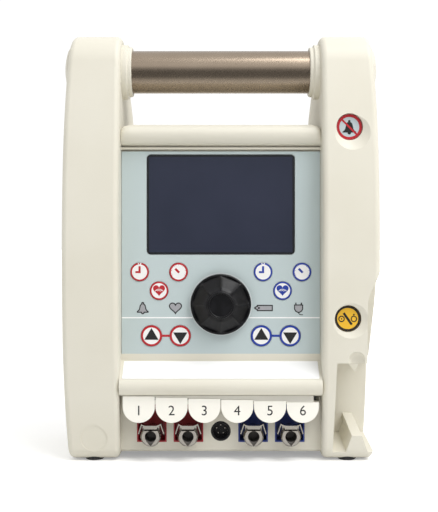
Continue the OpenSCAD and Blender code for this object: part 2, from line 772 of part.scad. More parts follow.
// Chassis: a bent sheet with a floor, two side walls and four rear tabs
chassis_w = side_w - wall;
chassis_in = screw_seat_x;
chassis_floor_z = housing_z + sheet;
chassis_top_z = 240;
chassis_side_d = 28;
tab_w = 12;
tab_h = 16;
module chassis_frame() {
    color(steel) difference() {
        union() {
            block([-chassis_w, deep(port_d + wall), housing_z], [chassis_w, back_front_y, chassis_floor_z]);
            both_sides() {
                block([chassis_in, deep(chassis_side_d), housing_z],
                    [chassis_w, back_front_y, chassis_top_z]);
                for (z = rear_screw_zs)
                    block([chassis_w - tab_w, back_front_y - sheet, z - tab_h / 2],
                        [chassis_w, back_front_y, z + tab_h / 2]);
            }
        }
        both_sides() {
            for (y = side_screw_ys)
                for (z = side_screw_zs)
                    rod_x(screw_hole_r, chassis_in - over, chassis_w + over, y, z);
            for (z = rear_screw_zs)
                rod_y(screw_hole_r, back_front_y - sheet - over, back_y, rear_screw_x, z);
            block([chassis_in - over, wire_window[0][0], wire_window[0][1]],
                [chassis_w + over, wire_window[1][0], wire_window[1][1]]);
        }
    }
}

module rubber_feet() {
    color(dark) both_sides() for (y = foot_ys)
        translate([foot_x, y, 0]) cylinder(r = foot_r, h = foot_stand + foot_seat);
}

// One screw along +Z, its head below the origin
module screw(length) {
    cylinder(r = thread_r, h = length);
    translate([0, 0, -screw_head_h]) difference() {
        cylinder(r = screw_head_r, h = screw_head_h);
        translate([0, 0, -over]) cylinder(r = 1.7, h = over + 1.2, $fn = 6);
    }
}
module housing_screws() {
    color(steel) both_sides() {
        for (y = side_screw_ys)
            for (z = side_screw_zs)
                translate([screw_seat_x, y, z]) rotate([0, 90, 0]) screw(side_screw_l);
        for (z = rear_screw_zs)
            translate([rear_screw_x, back_y - screw_head_h, z]) rotate([90, 0, 0]) screw(rear_screw_l);
    }
}

// Control panel, lens and label
module control_panel() {
    color(panel_blue) difference() {
        block([fit_gap - side_w, deep(panel_d), overlay_z], [side_w - fit_gap, wall_front_y, overlay_top_z]);
        facing_front(0, wall_front_y + over, lens_z) linear_extrude(overlay_t + 2 * over)
            round_rect(lens_w + 2 * fit_gap, lens_h + 2 * fit_gap, lens_corner_r + fit_gap);
        for (key = keys)
            rod_y(key[2] + fit_gap, deep(panel_d) - over, wall_back_y, key[0], key[1]);
        rod_y(bush_r + 0.1, deep(panel_d) - over, wall_back_y, 0, knob_z);
    }
}
module display_lens() {
    color(dark) facing_front(0, deep(overlay_back_d), lens_z) linear_extrude(lens_t)
        round_rect(lens_w, lens_h, lens_corner_r);
}
module_d = overlay_back_d + wall;
module_t = 7;
module_z = lens_z - 40;
module_top_z = lens_z + 40;
board_d = module_d + module_t + 4;
module display_module() {
    color(steel) {
        difference() {
            block([-60, deep(module_d), module_z], [60, deep(module_d + module_t), module_top_z]);
            block([-52, deep(module_d) - over, lens_z - 34], [52, deep(module_d) + 1.5, lens_z + 34]);
        }
        for (x = [-54, 54])
            for (z = [module_z + 6, module_top_z - 6])
                rod_y(3, deep(module_d + module_t), deep(board_d), x, z);
    }
}
module label_strip() {
    start = chin_c + chin_r * [cos(slope_a), sin(slope_a)];
    color("white") translate([0, start[0], start[1]]) rotate([label_slope, 0, 0])
        translate([-label_w / 2, 0.5, 0]) cube([label_w, label_h, label_t]);
}

// Knob, its shaft and the encoder. Each finger flute is a cone laid along the knob's slope,
// given by its radius and its depth at the hub end and at the rim end.
skirt_h = 5;
lip_w = 1.4;
cone_h = knob_h - 3;
cone_r = hub_r + 2.6;
flute_hub_r = 14;
flute_rim_r = 22;
flute_hub_depth = 1.4;
flute_rim_depth = 2.2;
module knob_flute() {
    run = [knob_r - lip_w - cone_r, cone_h - skirt_h];
    reach = norm(run) + 3;
    widen = atan((flute_rim_r - flute_hub_r) / norm(run));
    deepen = atan((flute_rim_depth - flute_hub_depth) / norm(run));
    translate([cone_r, 0, cone_h]) rotate([0, 90 + atan(run[1] / run[0]), 0])
        translate([flute_hub_depth, 0, 0]) rotate([0, deepen - widen, 0]) translate([-flute_hub_r, 0, 0])
            cylinder(r1 = flute_hub_r, r2 = flute_hub_r + reach * tan(widen), h = reach);
}
module control_knob() {
    color(dark) facing_front(0, deep(panel_d) - knob_gap, knob_z) difference() {
        rotate_extrude() polygon([
            [shaft_r + run_gap, 0], [knob_r - 0.8, 0], [knob_r, 0.8], [knob_r, skirt_h - 0.8],
            [knob_r - 0.8, skirt_h], [knob_r - lip_w, skirt_h], [cone_r, cone_h], [hub_r + 0.6, cone_h],
            [hub_r, cone_h + 0.6], [hub_r, knob_h - 0.6], [hub_r - 0.6, knob_h],
            [hub_r - 1.4, knob_h], [hub_r - 1.4, knob_h - 0.8], [0, knob_h - 0.8], [0, knob_socket],
            [shaft_r + run_gap, knob_socket]]);
        intersection() {
            difference() {
                cylinder(r = knob_r - lip_w, h = knob_h);
                cylinder(r = hub_r + 1.2, h = knob_h);
            }
            for (i = [0:flutes - 1])
                rotate([0, 0, (i + 0.5) * 360 / flutes]) knob_flute();
        }
    }
}
encoder_w = 13;
encoder_t = 6.5;
knob_socket = knob_h - 4;
shaft_end_gap = 0.3;
encoder_bore_d = module_d + encoder_t - 1;
module encoder_shaft() {
    knob_back_y = deep(panel_d) - knob_gap;
    color(steel) rod_y(shaft_r, knob_back_y - knob_socket, deep(encoder_bore_d) - shaft_end_gap, 0, knob_z);
}
module rotary_encoder() {
    color(steel) difference() {
        union() {
            block([-encoder_w / 2, deep(module_d), knob_z - encoder_w / 2],
                [encoder_w / 2, deep(module_d) + encoder_t, knob_z + encoder_w / 2]);
            rod_y(bush_r, deep(panel_d), deep(module_d), 0, knob_z);
        }
        rod_y(shaft_r + run_gap, deep(panel_d) - over, deep(encoder_bore_d), 0, knob_z);
    }
}

// A key: a round cap in the overlay and a stem with a snap rim behind the housing wall
module key(k) {
    cap_back_d = overlay_back_d - key_travel - 0.1;
    rod_y(k[2], deep(panel_d) - key_proud, deep(cap_back_d), k[0], k[1]);
    rod_y(stem_r, deep(cap_back_d), deep(module_d) + 0.1 + snap_t, k[0], k[1]);
    rod_y(snap_r, deep(module_d) + 0.1, deep(module_d) + 0.1 + snap_t, k[0], k[1]);
}
module left_time_key() { color(red) key(left_keys[0]); }
module left_pressure_key() { color(red) key(left_keys[1]); }
module left_pulse_key() { color(red) key(left_keys[2]); }
module left_inflate_key() { color(red) key(left_keys[3]); }
module left_deflate_key() { color(red) key(left_keys[4]); }
module right_time_key() { color(blue) key(right_keys[0]); }
module right_pressure_key() { color(blue) key(right_keys[1]); }
module right_pulse_key() { color(blue) key(right_keys[2]); }
module right_inflate_key() { color(blue) key(right_keys[3]); }
module right_deflate_key() { color(blue) key(right_keys[4]); }

switch_d = module_d + 0.1 + snap_t + key_travel + 0.2;
key_board_d = switch_d + 1;
board_t = 1.6;
module key_board() {
    board_x = 69.5;
    board_y = deep(key_board_d);
    window = encoder_w / 2 + fit_gap;
    color(board_green) difference() {
        union() {
            block([-board_x, board_y, arrow_row_z - 11], [board_x, board_y + board_t, key_row_z + 10]);
            for (k = keys)
                rod_y(3, deep(switch_d), board_y, k[0], k[1]);
            for (x = [2.5 - board_x, board_x - 2.5])
                for (z = [arrow_row_z - 7.5, key_row_z + 8])
                    rod_y(2, deep(module_d), board_y, x, z);
        }
        block([-window, board_y - over, knob_z - window],
            [window, board_y + board_t + over, knob_z + window]);
    }
}

// Side buttons and their switches
button_stem_l = 4;
module side_button(x, z) {
    face_y = button_face_y(z);
    rim_y = face_y + button_floor + 0.1;
    rod_y(side_button_r, face_y, rim_y + 0.1, x, z);
    rod_y(button_rim_r, rim_y, rim_y + button_rim_t, x, z);
    rod_y(4, rim_y + button_rim_t, rim_y + button_rim_t + button_stem_l, x, z);
}
module alarm_silence_button() {
    color([0.82, 0.86, 0.87]) side_button(silence_x, silence_z);
}
module standby_button() {
    color([0.93, 0.72, 0.18]) side_button(standby_x, standby_z);
}
module side_switch(x, z) {
    start = button_face_y(z) + button_floor + button_rim_t + button_stem_l + side_button_travel + 0.3;
    block([x - 6, start, z - 6], [x + 6, start + 8, z + 6]);
    block([side_w + column_wall, start + 8, z - 8], [x + 6, start + 10, z + 8]);
}
module side_switches() {
    color(dark) side_switch(silence_x, silence_z);
    color(dark) side_switch(standby_x, standby_z);
}

// Ports
insert_back_d = port_d + insert_depth;
insert_floor_y = deep(insert_back_d) - insert_wall;
shank_r = 4;
module port_insert(x) {
    half_w = insert_w / 2;
    difference() {
        block([x - half_w, deep(port_d), insert_z], [x + half_w, deep(insert_back_d), insert_top_z]);
        block([x - half_w + insert_wall, deep(port_d) - over, insert_z + insert_wall],
            [x + half_w - insert_wall, insert_floor_y, insert_top_z - insert_wall]);
        rod_y(shank_r + 0.1, deep(port_d), deep(insert_back_d) + over, x, port_z);
    }
}
module red_port_inserts() {
    color(red) port_insert(port_xs[0]);
    color(red) port_insert(port_xs[1]);
}
module blue_port_inserts() {
    color(blue) port_insert(port_xs[2]);
    color(blue) port_insert(port_xs[3]);
}

// A hose coupling: collar with a latch slot and a key notch, neck, flange and shank
latch_slot_d = 6.2;
latch_slot_t = 1.5;
collar_l = 9;
neck_r = 5.3;
shank_end_d = insert_back_d + 18;
module coupling(x) {
    flat_z = port_z + port_bore_r + 0.1;
    legs_z = port_z - 2.6 - latch_travel;
    mouth_y = deep(port_mouth_d);
    slot_y = mouth_y + latch_slot_d;
    outside = port_collar_r + over;
    color(nickel) difference() {
        union() {
            facing_front(x, mouth_y + collar_l, port_z) rotate_extrude() polygon([
                [0, 0], [port_collar_r - 0.6, 0], [port_collar_r, 0.6], [port_collar_r, collar_l - 1.6],
                [port_collar_r - 1, collar_l], [0, collar_l]]);
            rod_y(neck_r, mouth_y + collar_l, insert_floor_y, x, port_z);
            rod_y(shank_r, insert_floor_y, deep(shank_end_d), x, port_z);
        }
        rod_y(port_bore_r, mouth_y - over, mouth_y + port_bore_depth, x, port_z);
        block([x - outside, mouth_y - over, flat_z], [x + outside, slot_y + latch_slot_t, port_z + outside]);
        both_sides_of(x)
            block([port_bore_r + 0.5, slot_y, legs_z], [outside, slot_y + latch_slot_t, flat_z + over]);
        along_y(mouth_y - over, mouth_y + 3) translate([x, port_z]) polygon([
            [-3, 1 - port_bore_r], [3, 1 - port_bore_r], [0, 0.4 - port_collar_r]]);
    }
}
// Children on both sides of a vertical plane at X
module both_sides_of(x) {
    translate([x, 0, 0]) both_sides() children();
}

// A thumb latch: a pad above the mouth, a plate with two legs in the coupling's slot, and two side wings
latch_top_z = tab_z - 0.8;
module latch(x) {
    pad_z = port_z + port_bore_r + 0.1 + latch_travel + 0.1;
    plate_from = deep(port_mouth_d) + latch_slot_d + 0.15;
    plate_to = deep(port_mouth_d) + latch_slot_d + latch_slot_t - 0.15;
    horn = latch_top_z - 1;
    leg_x = port_bore_r + 0.7;
    color(nickel) translate([x, 0, 0]) {
        along_y(deep(port_mouth_d) + 0.3, plate_to) polygon([
            [-4.6, pad_z], [4.6, pad_z], [5.1, pad_z + 1.4], [6.8, latch_top_z], [4.2, horn], [-4.2, horn],
            [-6.8, latch_top_z], [-5.1, pad_z + 1.4]]);
        both_sides() {
            along_y(plate_from, plate_to) polygon([
                [leg_x, port_z - 2.4], [6.3, port_z - 2.4], [6.3, latch_top_z - 0.4], [4, latch_top_z - 1.2],
                [4, pad_z], [leg_x, pad_z]]);
            along_y(plate_from, plate_from + 5) polygon([
                [5.6, latch_top_z - 2], [5.8, latch_top_z - 1.1], [7.4, latch_top_z - 0.6],
                [9.9, port_z + 1], [9.2, port_z + 0.6], [6.9, latch_top_z - 2]]);
        }
    }
}
module coupling_1() { coupling(port_xs[0]); }
module coupling_2() { coupling(port_xs[1]); }
module coupling_3() { coupling(port_xs[2]); }
module coupling_4() { coupling(port_xs[3]); }
module latch_1() { latch(port_xs[0]); }
module latch_2() { latch(port_xs[1]); }
module latch_3() { latch(port_xs[2]); }
module latch_4() { latch(port_xs[3]); }

// The socket's bore ends on a ledge, and a narrower well behind it holds the contact pins
socket_l = 16;
well_r = socket_bore_r - 0.8;
well_l = 2.4;
pin_ring_r = 3.4;
pin_r = 0.6;
pin_l = well_l - 0.4;
module sensor_socket() {
    well_floor = socket_bore_l + well_l;
    color(dark) facing_front(0, deep(port_d), socket_z) difference() {
        translate([0, 0, -socket_l]) cylinder(r = socket_r, h = socket_l);
        translate([0, 0, -socket_bore_l]) cylinder(r = socket_bore_r, h = socket_bore_l + over);
        translate([0, 0, -well_floor]) cylinder(r = well_r, h = well_l + over);
    }
    color(nickel) facing_front(0, deep(port_d) + well_floor, socket_z) for (i = [0:4])
        rotate([0, 0, i * 72 + 90]) translate([pin_ring_r, 0, 0]) cylinder(r = pin_r, h = pin_l);
}

// Cards: number 1 lies on top and is the widest, so that every tab hangs clear of the cards below it
level_pitch = (slot_h - 0.2) / cards;
tab_r = (card_pitch - tab_gap) / 2;
card_edge_x = 69.6;
function card_level_z(i) = slot_top_z - 0.3 - level_pitch * i - card_t;
function tab_x(i) = (i - (cards - 1) / 2) * card_pitch;
module card(i) {
    z = card_level_z(i);
    x = tab_x(i);
    body_from = max(x - tab_r, -card_edge_x);
    color([0.98, 0.96, 0.91]) {
        block([body_from, deep(tab_d) + card_t, z], [card_edge_x, deep(tab_d) + card_l, z + card_t]);
        block([x - tab_r, deep(tab_d), z], [x + tab_r, deep(port_d) - 1, z + card_t]);
        along_y(deep(tab_d), deep(tab_d) + card_t) intersection() {
            union() {
                translate([x, tab_z + tab_r]) circle(r = tab_r);
                translate([x - tab_r, tab_z + tab_r]) square(2 * tab_r);
            }
            translate([x - tab_r, tab_z]) square([2 * tab_r, z + card_t - tab_z]);
        }
    }
}
module card_1() { card(0); }
module card_2() { card(1); }
module card_3() { card(2); }
module card_4() { card(3); }
module card_5() { card(4); }
module card_6() { card(5); }

module card_tray() {
    lip = 1.5;
    tray_from = deep(port_d + wall);
    tray_to = deep(tab_d) + card_l + 4;
    inside_x = card_edge_x + fit_gap;
    color(dark) difference() {
        block([-chassis_in, deep(chassis_side_d), slot_z - lip], [chassis_in, tray_to, slot_top_z + lip]);
        block([-inside_x, tray_from, slot_z], [inside_x, tray_to - lip, slot_top_z]);
    }
}

// Inside: boards, supply, battery, air parts, speaker
board_bottom_z = slot_top_z + 6;
pack_d = split_d + 2;
pack_back_d = rear_d - 12;
pack_w = 38;
supply_z = 100;
supply_top_z = 190;
battery_z = 66;
battery_top_z = 136;
module main_board() {
    back = deep(board_d) + 1.6;
    color(board_green) block([-68, deep(board_d), board_bottom_z], [68, back, chassis_top_z - 4]);
    color(dark) {
        block([-50, back, 80], [-20, back + 4, 110]);
        block([5, back, 70], [35, back + 7, 86]);
        block([-15, back, 150], [15, back + 2.5, 180]);
        block([30, back, 190], [60, back + 9, 205]);
        block([-60, back, 190], [-40, back + 9, 225]);
    }
}
module power_supply() {
    case_t = 2;
    board_x = -chassis_in + 2 * case_t;
    mid_d = (pack_d + pack_back_d) / 2;
    color(steel) difference() {
        block([-chassis_in, deep(pack_d), supply_z],
            [-chassis_in + pack_w, deep(pack_back_d), supply_top_z]);
        block([-chassis_in + case_t, deep(pack_d) - over, supply_z + case_t],
            [-chassis_in + pack_w - case_t, deep(pack_back_d) - case_t, supply_top_z - case_t]);
    }
    color(board_green) block([-chassis_in + case_t, deep(pack_d) + case_t, supply_z + 3 * case_t],
        [board_x, deep(pack_back_d) - 2 * case_t, supply_top_z - 3 * case_t]);
    color(dark) {
        block([board_x, deep(mid_d) - 17, supply_z + 12], [board_x + 24, deep(mid_d) + 9, supply_z + 40]);
        rod_x(11, board_x, board_x + 24, deep(mid_d) - 3, supply_z + 60);
    }
}
module battery_pack() {
    color([0.25, 0.27, 0.32]) {
        block([chassis_in - pack_w, deep(pack_d), battery_z],
            [chassis_in, deep(pack_back_d), battery_top_z]);
        for (d = [pack_d + 10, pack_back_d - 16])
            block([chassis_in - 26, deep(d), battery_top_z],
                [chassis_in - 20, deep(d) + 6, battery_top_z + 2.5]);
    }
}
manifold_d = shank_end_d - 4;
manifold_back_d = manifold_d + 18;
module air_pump() {
    mid_y = deep((manifold_back_d + rear_d - wall) / 2) - 1.5;
    color(dark) {
        block([-62, mid_y - 18, chassis_floor_z], [-8, mid_y + 18, chassis_floor_z + 4]);
        block([-60, mid_y - 16, chassis_floor_z + 4], [-40, mid_y + 16, chassis_floor_z + 30]);
        rod_x(13, -40.1, -12, mid_y, chassis_floor_z + 17.6);
        block([-34, mid_y - 6, chassis_floor_z + 4], [-18, mid_y + 6, chassis_floor_z + 8]);
    }
}
module valve_manifold() {
    start_y = deep(manifold_d);
    top_z = 33;
    color(nickel) difference() {
        union() {
            block([-64, start_y, chassis_floor_z + 2], [64, deep(manifold_back_d), top_z]);
            for (x = [-56, 56])
                block([x - 4, start_y + 4, chassis_floor_z], [x + 4, start_y + 14, chassis_floor_z + 2]);
        }
        for (x = port_xs)
            rod_y(shank_r + 0.05, start_y - over, deep(shank_end_d) + 6, x, port_z);
    }
    color(dark) for (x = port_xs)
        translate([x, start_y + 9, top_z]) cylinder(r = 5.5, h = slot_z - 2 - top_z);
}
module alarm_speaker() {
    color(dark) {
        rod_y(speaker_r, deep(rear_d - wall) - 4, deep(rear_d - wall), speaker_x, speaker_z);
        rod_y(speaker_r - 6, deep(rear_d - wall) - 13, deep(rear_d - wall) - 4, speaker_x, speaker_z);
    }
}
module power_inlet() {
    body_l = 22;
    flange = 3;
    color(dark) difference() {
        union() {
            block([inlet_x - inlet_w / 2 + 0.1, deep(rear_d) - body_l, inlet_z - inlet_h / 2 + 0.1],
                [inlet_x + inlet_w / 2 - 0.1, deep(rear_d), inlet_z + inlet_h / 2 - 0.1]);
            block([inlet_x - inlet_w / 2 - flange, deep(rear_d), inlet_z - inlet_h / 2 - flange],
                [inlet_x + inlet_w / 2 + flange, deep(rear_d) + 2.5, inlet_z + inlet_h / 2 + flange]);
        }
        along_y(deep(rear_d) - 15, deep(rear_d) + 2.5 + over) translate([inlet_x, inlet_z]) polygon([
            [-12, -8.2], [12, -8.2], [12, 4.2], [8, 8.2], [-8, 8.2], [-12, 4.2]]);
    }
    color(nickel) for (p = [[-7, -2], [0, 2.4], [7, -2]])
        block([inlet_x + p[0] - 1, deep(rear_d) - 15, inlet_z + p[1] - 2],
            [inlet_x + p[0] + 1, deep(rear_d) - 1, inlet_z + p[1] + 2]);
}

// Pole clamp: fixed jaw on the left, screw arm on the right, open to the back
pole_d = rear_d + clamp_plate + 18;
pole_x = -6;
jaw_angle = 65;
jaw_x = pole_x - pole_r * cos(jaw_angle);
screw_arm_x = 26;
screw_arm_w = 12;
arm_end_x = screw_arm_x + screw_arm_w;
plate_y = back_y + clamp_plate;
pad_t = 7;
pad_x = screw_arm_x - 1 - pad_t;
clamp_low = clamp_z - clamp_h / 2;
clamp_high = clamp_z + clamp_h / 2;
clamp_end_y = back_y + clamp_reach;
module clamp_bracket() {
    color(dark) difference() {
        union() {
            block([-34, back_y, clamp_low], [arm_end_x, plate_y, clamp_high]);
            block([-34, plate_y, clamp_low], [jaw_x, clamp_end_y, clamp_high]);
            block([screw_arm_x, plate_y, clamp_z - 14], [arm_end_x, clamp_end_y - 6, clamp_z + 14]);
        }
        translate([pole_x, deep(pole_d), clamp_low - over]) cylinder(r = pole_r, h = clamp_h + 2 * over);
        rod_x(screw_r + run_gap, screw_arm_x - over, arm_end_x + over, deep(pole_d), clamp_z);
        for (bolt = clamp_bolts)
            rod_y(bolt_hole_r, back_y - over, plate_y + over, bolt[0], bolt[1]);
    }
    color(steel) for (bolt = clamp_bolts)
        rod_y(bolt_r, back_front_y - 6, plate_y - 1, bolt[0], bolt[1]);
}
knob_start_x = arm_end_x + pad_travel + 2;
clamp_knob_t = 16;
lobes = 6;
module clamp_screw() {
    color(steel) rod_x(screw_r, pad_x + pad_t, knob_start_x, deep(pole_d), clamp_z);
    color(dark) translate([knob_start_x, deep(pole_d), clamp_z]) rotate([0, 90, 0]) difference() {
        cylinder(r = clamp_knob_r, h = clamp_knob_t);
        for (i = [0:lobes - 1])
            rotate([0, 0, i * 360 / lobes]) translate([clamp_knob_r + 4.5, 0, -over])
                cylinder(r = 7.5, h = clamp_knob_t + 2 * over);
    }
}
module clamp_pad() {
    color(dark) translate([pad_x, deep(pole_d) - 9, clamp_z - 12]) cube([pad_t, 18, 24]);
}

left_column();
right_column();
handle_tube();
handle_collars();
handle_end_caps();
front_housing();
rear_housing();
chassis_frame();
rubber_feet();
housing_screws();
control_panel();
display_lens();
display_module();
label_strip();
control_knob();
encoder_shaft();
rotary_encoder();
left_time_key();
left_pressure_key();
left_pulse_key();
left_inflate_key();
left_deflate_key();
right_time_key();
right_pressure_key();
right_pulse_key();
right_inflate_key();
right_deflate_key();
key_board();
alarm_silence_button();
standby_button();
side_switches();
red_port_inserts();
blue_port_inserts();
coupling_1();
coupling_2();
coupling_3();
coupling_4();
latch_1();
latch_2();
latch_3();
latch_4();
sensor_socket();
card_1();
card_2();
card_3();
card_4();
card_5();
card_6();
card_tray();
main_board();
power_supply();
battery_pack();
air_pump();
valve_manifold();
alarm_speaker();
power_inlet();
clamp_bracket();
clamp_screw();
clamp_pad();
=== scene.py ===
import json
import math

import bmesh
import bpy
from mathutils import Matrix, Vector

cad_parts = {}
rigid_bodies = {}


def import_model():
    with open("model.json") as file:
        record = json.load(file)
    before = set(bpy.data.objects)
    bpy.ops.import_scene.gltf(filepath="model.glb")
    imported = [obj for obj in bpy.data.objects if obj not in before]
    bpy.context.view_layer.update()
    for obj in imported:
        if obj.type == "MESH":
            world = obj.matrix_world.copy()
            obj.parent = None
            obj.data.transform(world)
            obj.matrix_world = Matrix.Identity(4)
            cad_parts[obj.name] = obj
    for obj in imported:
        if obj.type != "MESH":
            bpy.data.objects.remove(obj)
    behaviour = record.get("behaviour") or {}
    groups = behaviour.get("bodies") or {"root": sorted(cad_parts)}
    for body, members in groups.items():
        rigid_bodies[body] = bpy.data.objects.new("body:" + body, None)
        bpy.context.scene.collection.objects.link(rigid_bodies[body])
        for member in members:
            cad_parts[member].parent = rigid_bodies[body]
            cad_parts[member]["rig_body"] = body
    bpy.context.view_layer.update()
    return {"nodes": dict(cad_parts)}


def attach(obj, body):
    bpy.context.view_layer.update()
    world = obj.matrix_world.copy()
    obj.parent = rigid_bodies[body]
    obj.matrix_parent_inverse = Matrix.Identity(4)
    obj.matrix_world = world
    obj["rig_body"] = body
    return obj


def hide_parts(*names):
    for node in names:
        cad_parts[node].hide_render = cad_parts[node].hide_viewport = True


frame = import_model()
cad = frame["nodes"]
scene = bpy.context.scene

# Sizes of the part, in millimetres
MM = 0.001
FRONT_Y = -84.0
SIDE_X = 76.0
COLUMN_D = 130.0
COLUMN_W = 118.5
BOW_R = 945.0
BOW_Z = 150.0
END_DRAW = 3.9
WIDEST_Z = 158.0
EDGE_R = 4.5
TOE_R = 10.0
SHOULDER_R = 22.0
SHOULDER_Z = 258.0
WALL = 3.0
BASE_Z = 1.2
HANDLE_Z = 297.6
HANDLE_D = 39.0
PANEL_D = 22.0
LENS_Z = 193.7
KNOB_Z = 117.7
PORT_XS = (-52.5, -24.6, 24.6, 52.5)
PORT_Z = 19.5
LABEL_SLOPE = math.radians(38)
KEY_BOARD_D = 29.4
CLAMP_Y = 64.0
CLAMP_Z = 160.0
CLAMP_BOLTS = [(x, z) for x in (-21, 21) for z in (142, 178)]
CARD_PITCH = 24.6
TOP_Z = 254.4
REAR_D = 124.0


def deep(d):
    """Y of a point that lies d behind the foremost line of the columns."""
    return FRONT_Y + d


HANDLE_Y = deep(HANDLE_D)
HANDLE = (0, HANDLE_Y, HANDLE_Z)


# Camera


def set_camera():
    """A level camera straight in front, at the height of the middle of the object."""
    data = bpy.data.cameras.new("camera")
    data.lens = 66.5
    data.shift_x = -0.0035
    data.shift_y = -0.0215
    data.clip_start = 0.02
    data.clip_end = 60
    camera = bpy.data.objects.new("camera", data)
    camera.location = (0, -0.784, 0.1628)
    camera.rotation_euler = (math.radians(90), 0, 0)
    scene.collection.objects.link(camera)
    scene.camera = camera


# Light


TOP_LIGHT = 0.80
SIDE_LIGHT = 0.33
FRONT_SHARE = 0.36
LOW_SKY_GAIN = 1.2
WALL_LIGHT = 0.45
BACKDROP_LIGHT = 1.06
KEY_WATTS = 21.5


def softbox(name, place, target, width, height, watts):
    """A flat lamp that faces a target."""
    data = bpy.data.lights.new(name, "AREA")
    data.shape = "RECTANGLE"
    data.size = width
    data.size_y = height
    data.energy = watts
    lamp = bpy.data.objects.new(name, data)
    lamp.location = place
    lamp.rotation_mode = "QUATERNION"
    aim = Vector(target) - Vector(place)
    lamp.rotation_quaternion = aim.to_track_quat("-Z", "Y")
    scene.collection.objects.link(lamp)


def studio_world():
    """Soft light that grows towards the top and dims in front, before a plain white backdrop."""
    world = bpy.data.worlds.new("studio")
    world.use_nodes = True
    scene.world = world
    tree = world.node_tree
    background = tree.nodes["Background"]
    where = tree.nodes.new("ShaderNodeTexCoord")
    split = tree.nodes.new("ShaderNodeSeparateXYZ")
    tree.links.new(where.outputs["Generated"], split.inputs[0])
    up = math_node(tree, "MAXIMUM", split.outputs["Z"], 0.0)
    soft = math_node(tree, "ADD", math_node(tree, "MULTIPLY", up, TOP_LIGHT), SIDE_LIGHT)
    level = math_node(tree, "MULTIPLY", math_node(tree, "ABSOLUTE", split.outputs["Z"]), 1.6)
    front = math_node(tree, "SUBTRACT", math_node(tree, "MULTIPLY", split.outputs["Y"], -1), level)
    dim = smooth_ramp(tree, front, 0.1, 0.9, 1.0, FRONT_SHARE)
    rays = tree.nodes.new("ShaderNodeLightPath").outputs
    low_sky = smooth_ramp(tree, split.outputs["Z"], 0.2, 0.85, LOW_SKY_GAIN, 0.0)
    gain = math_node(tree, "ADD", math_node(tree, "MULTIPLY", low_sky, rays["Is Glossy Ray"]), 1.0)
    lit = math_node(tree, "MULTIPLY", math_node(tree, "MULTIPLY", soft, dim), gain)
    wall = smooth_ramp(tree, split.outputs["Y"], 0.80, 0.925, 0.0, 1.0)
    kept = math_node(tree, "MULTIPLY", lit, math_node(tree, "SUBTRACT", 1.0, wall))
    cast = math_node(tree, "ADD", kept, math_node(tree, "MULTIPLY", wall, WALL_LIGHT))
    seen = rays["Is Camera Ray"]
    hidden = math_node(tree, "MULTIPLY", cast, math_node(tree, "SUBTRACT", 1.0, seen))
    total = math_node(tree, "ADD", hidden, math_node(tree, "MULTIPLY", seen, BACKDROP_LIGHT))
    background.inputs["Color"].default_value = (1, 1, 1, 1)
    tree.links.new(total, background.inputs["Strength"])


def set_lights():
    studio_world()
    softbox("key_softbox", (0.75, -0.75, 1.55), (0, 0, 0.15), 1.1, 1.1, KEY_WATTS)


# Small parts of node trees


def step(tree, kind, inputs, **settings):
    """Adds a node, and links or sets its inputs."""
    node = tree.nodes.new(kind)
    for key, value in settings.items():
        setattr(node, key, value)
    for key, value in inputs.items():
        if isinstance(value, bpy.types.NodeSocket):
            tree.links.new(value, node.inputs[key])
        else:
            node.inputs[key].default_value = value
    return node


def math_node(tree, operation, a, b=None):
    node = tree.nodes.new("ShaderNodeMath")
    node.operation = operation
    for socket, value in zip(node.inputs, (a, b)):
        if isinstance(value, bpy.types.NodeSocket):
            tree.links.new(value, socket)
        elif value is not None:
            socket.default_value = value
    return node.outputs[0]


def noise(tree, where, size_mm, detail=3.0, stretch=(1, 1, 1)):
    """Noise whose features are about size_mm across."""
    mapped = tree.nodes.new("ShaderNodeMapping")
    mapped.inputs["Scale"].default_value = stretch
    tree.links.new(where, mapped.inputs["Vector"])
    node = tree.nodes.new("ShaderNodeTexNoise")
    node.inputs["Scale"].default_value = 1000 / size_mm
    node.inputs["Detail"].default_value = detail
    tree.links.new(mapped.outputs[0], node.inputs["Vector"])
    return node.outputs["Fac"]


def ramped(tree, value, low, high, to_low, to_high, kind="LINEAR"):
    """A value carried from one range to another."""
    node = step(tree, "ShaderNodeMapRange", {"Value": value, "From Min": low, "From Max": high,
                                             "To Min": to_low, "To Max": to_high}, interpolation_type=kind)
    return node.outputs["Result"]


def smooth_ramp(tree, value, low, high, to_low, to_high):
    return ramped(tree, value, low, high, to_low, to_high, "SMOOTHSTEP")


def mixed(tree, share, a, b):
    node = tree.nodes.new("ShaderNodeMix")
    node.data_type = "RGBA"
    for socket, value in ((node.inputs["Factor"], share), (node.inputs["A"], a), (node.inputs["B"], b)):
        if isinstance(value, bpy.types.NodeSocket):
            tree.links.new(value, socket)
        elif isinstance(value, tuple):
            socket.default_value = (*value[:3], 1)
        else:
            socket.default_value = value
    return next(s for s in node.outputs if s.type == "RGBA")


def bumped(tree, shader, height, depth_mm, strength=1.0):
    node = tree.nodes.new("ShaderNodeBump")
    node.inputs["Distance"].default_value = depth_mm * MM
    node.inputs["Strength"].default_value = strength
    tree.links.new(height, node.inputs["Height"])
    tree.links.new(node.outputs[0], shader.inputs["Normal"])


def empty_material(name, rough, metal=0.0):
    material = bpy.data.materials.new(name)
    material.use_nodes = True
    tree = material.node_tree
    shader = tree.nodes["Principled BSDF"]
    shader.inputs["Roughness"].default_value = rough
    shader.inputs["Metallic"].default_value = metal
    where = tree.nodes.new("ShaderNodeTexCoord").outputs["Object"]
    return material, tree, shader, where


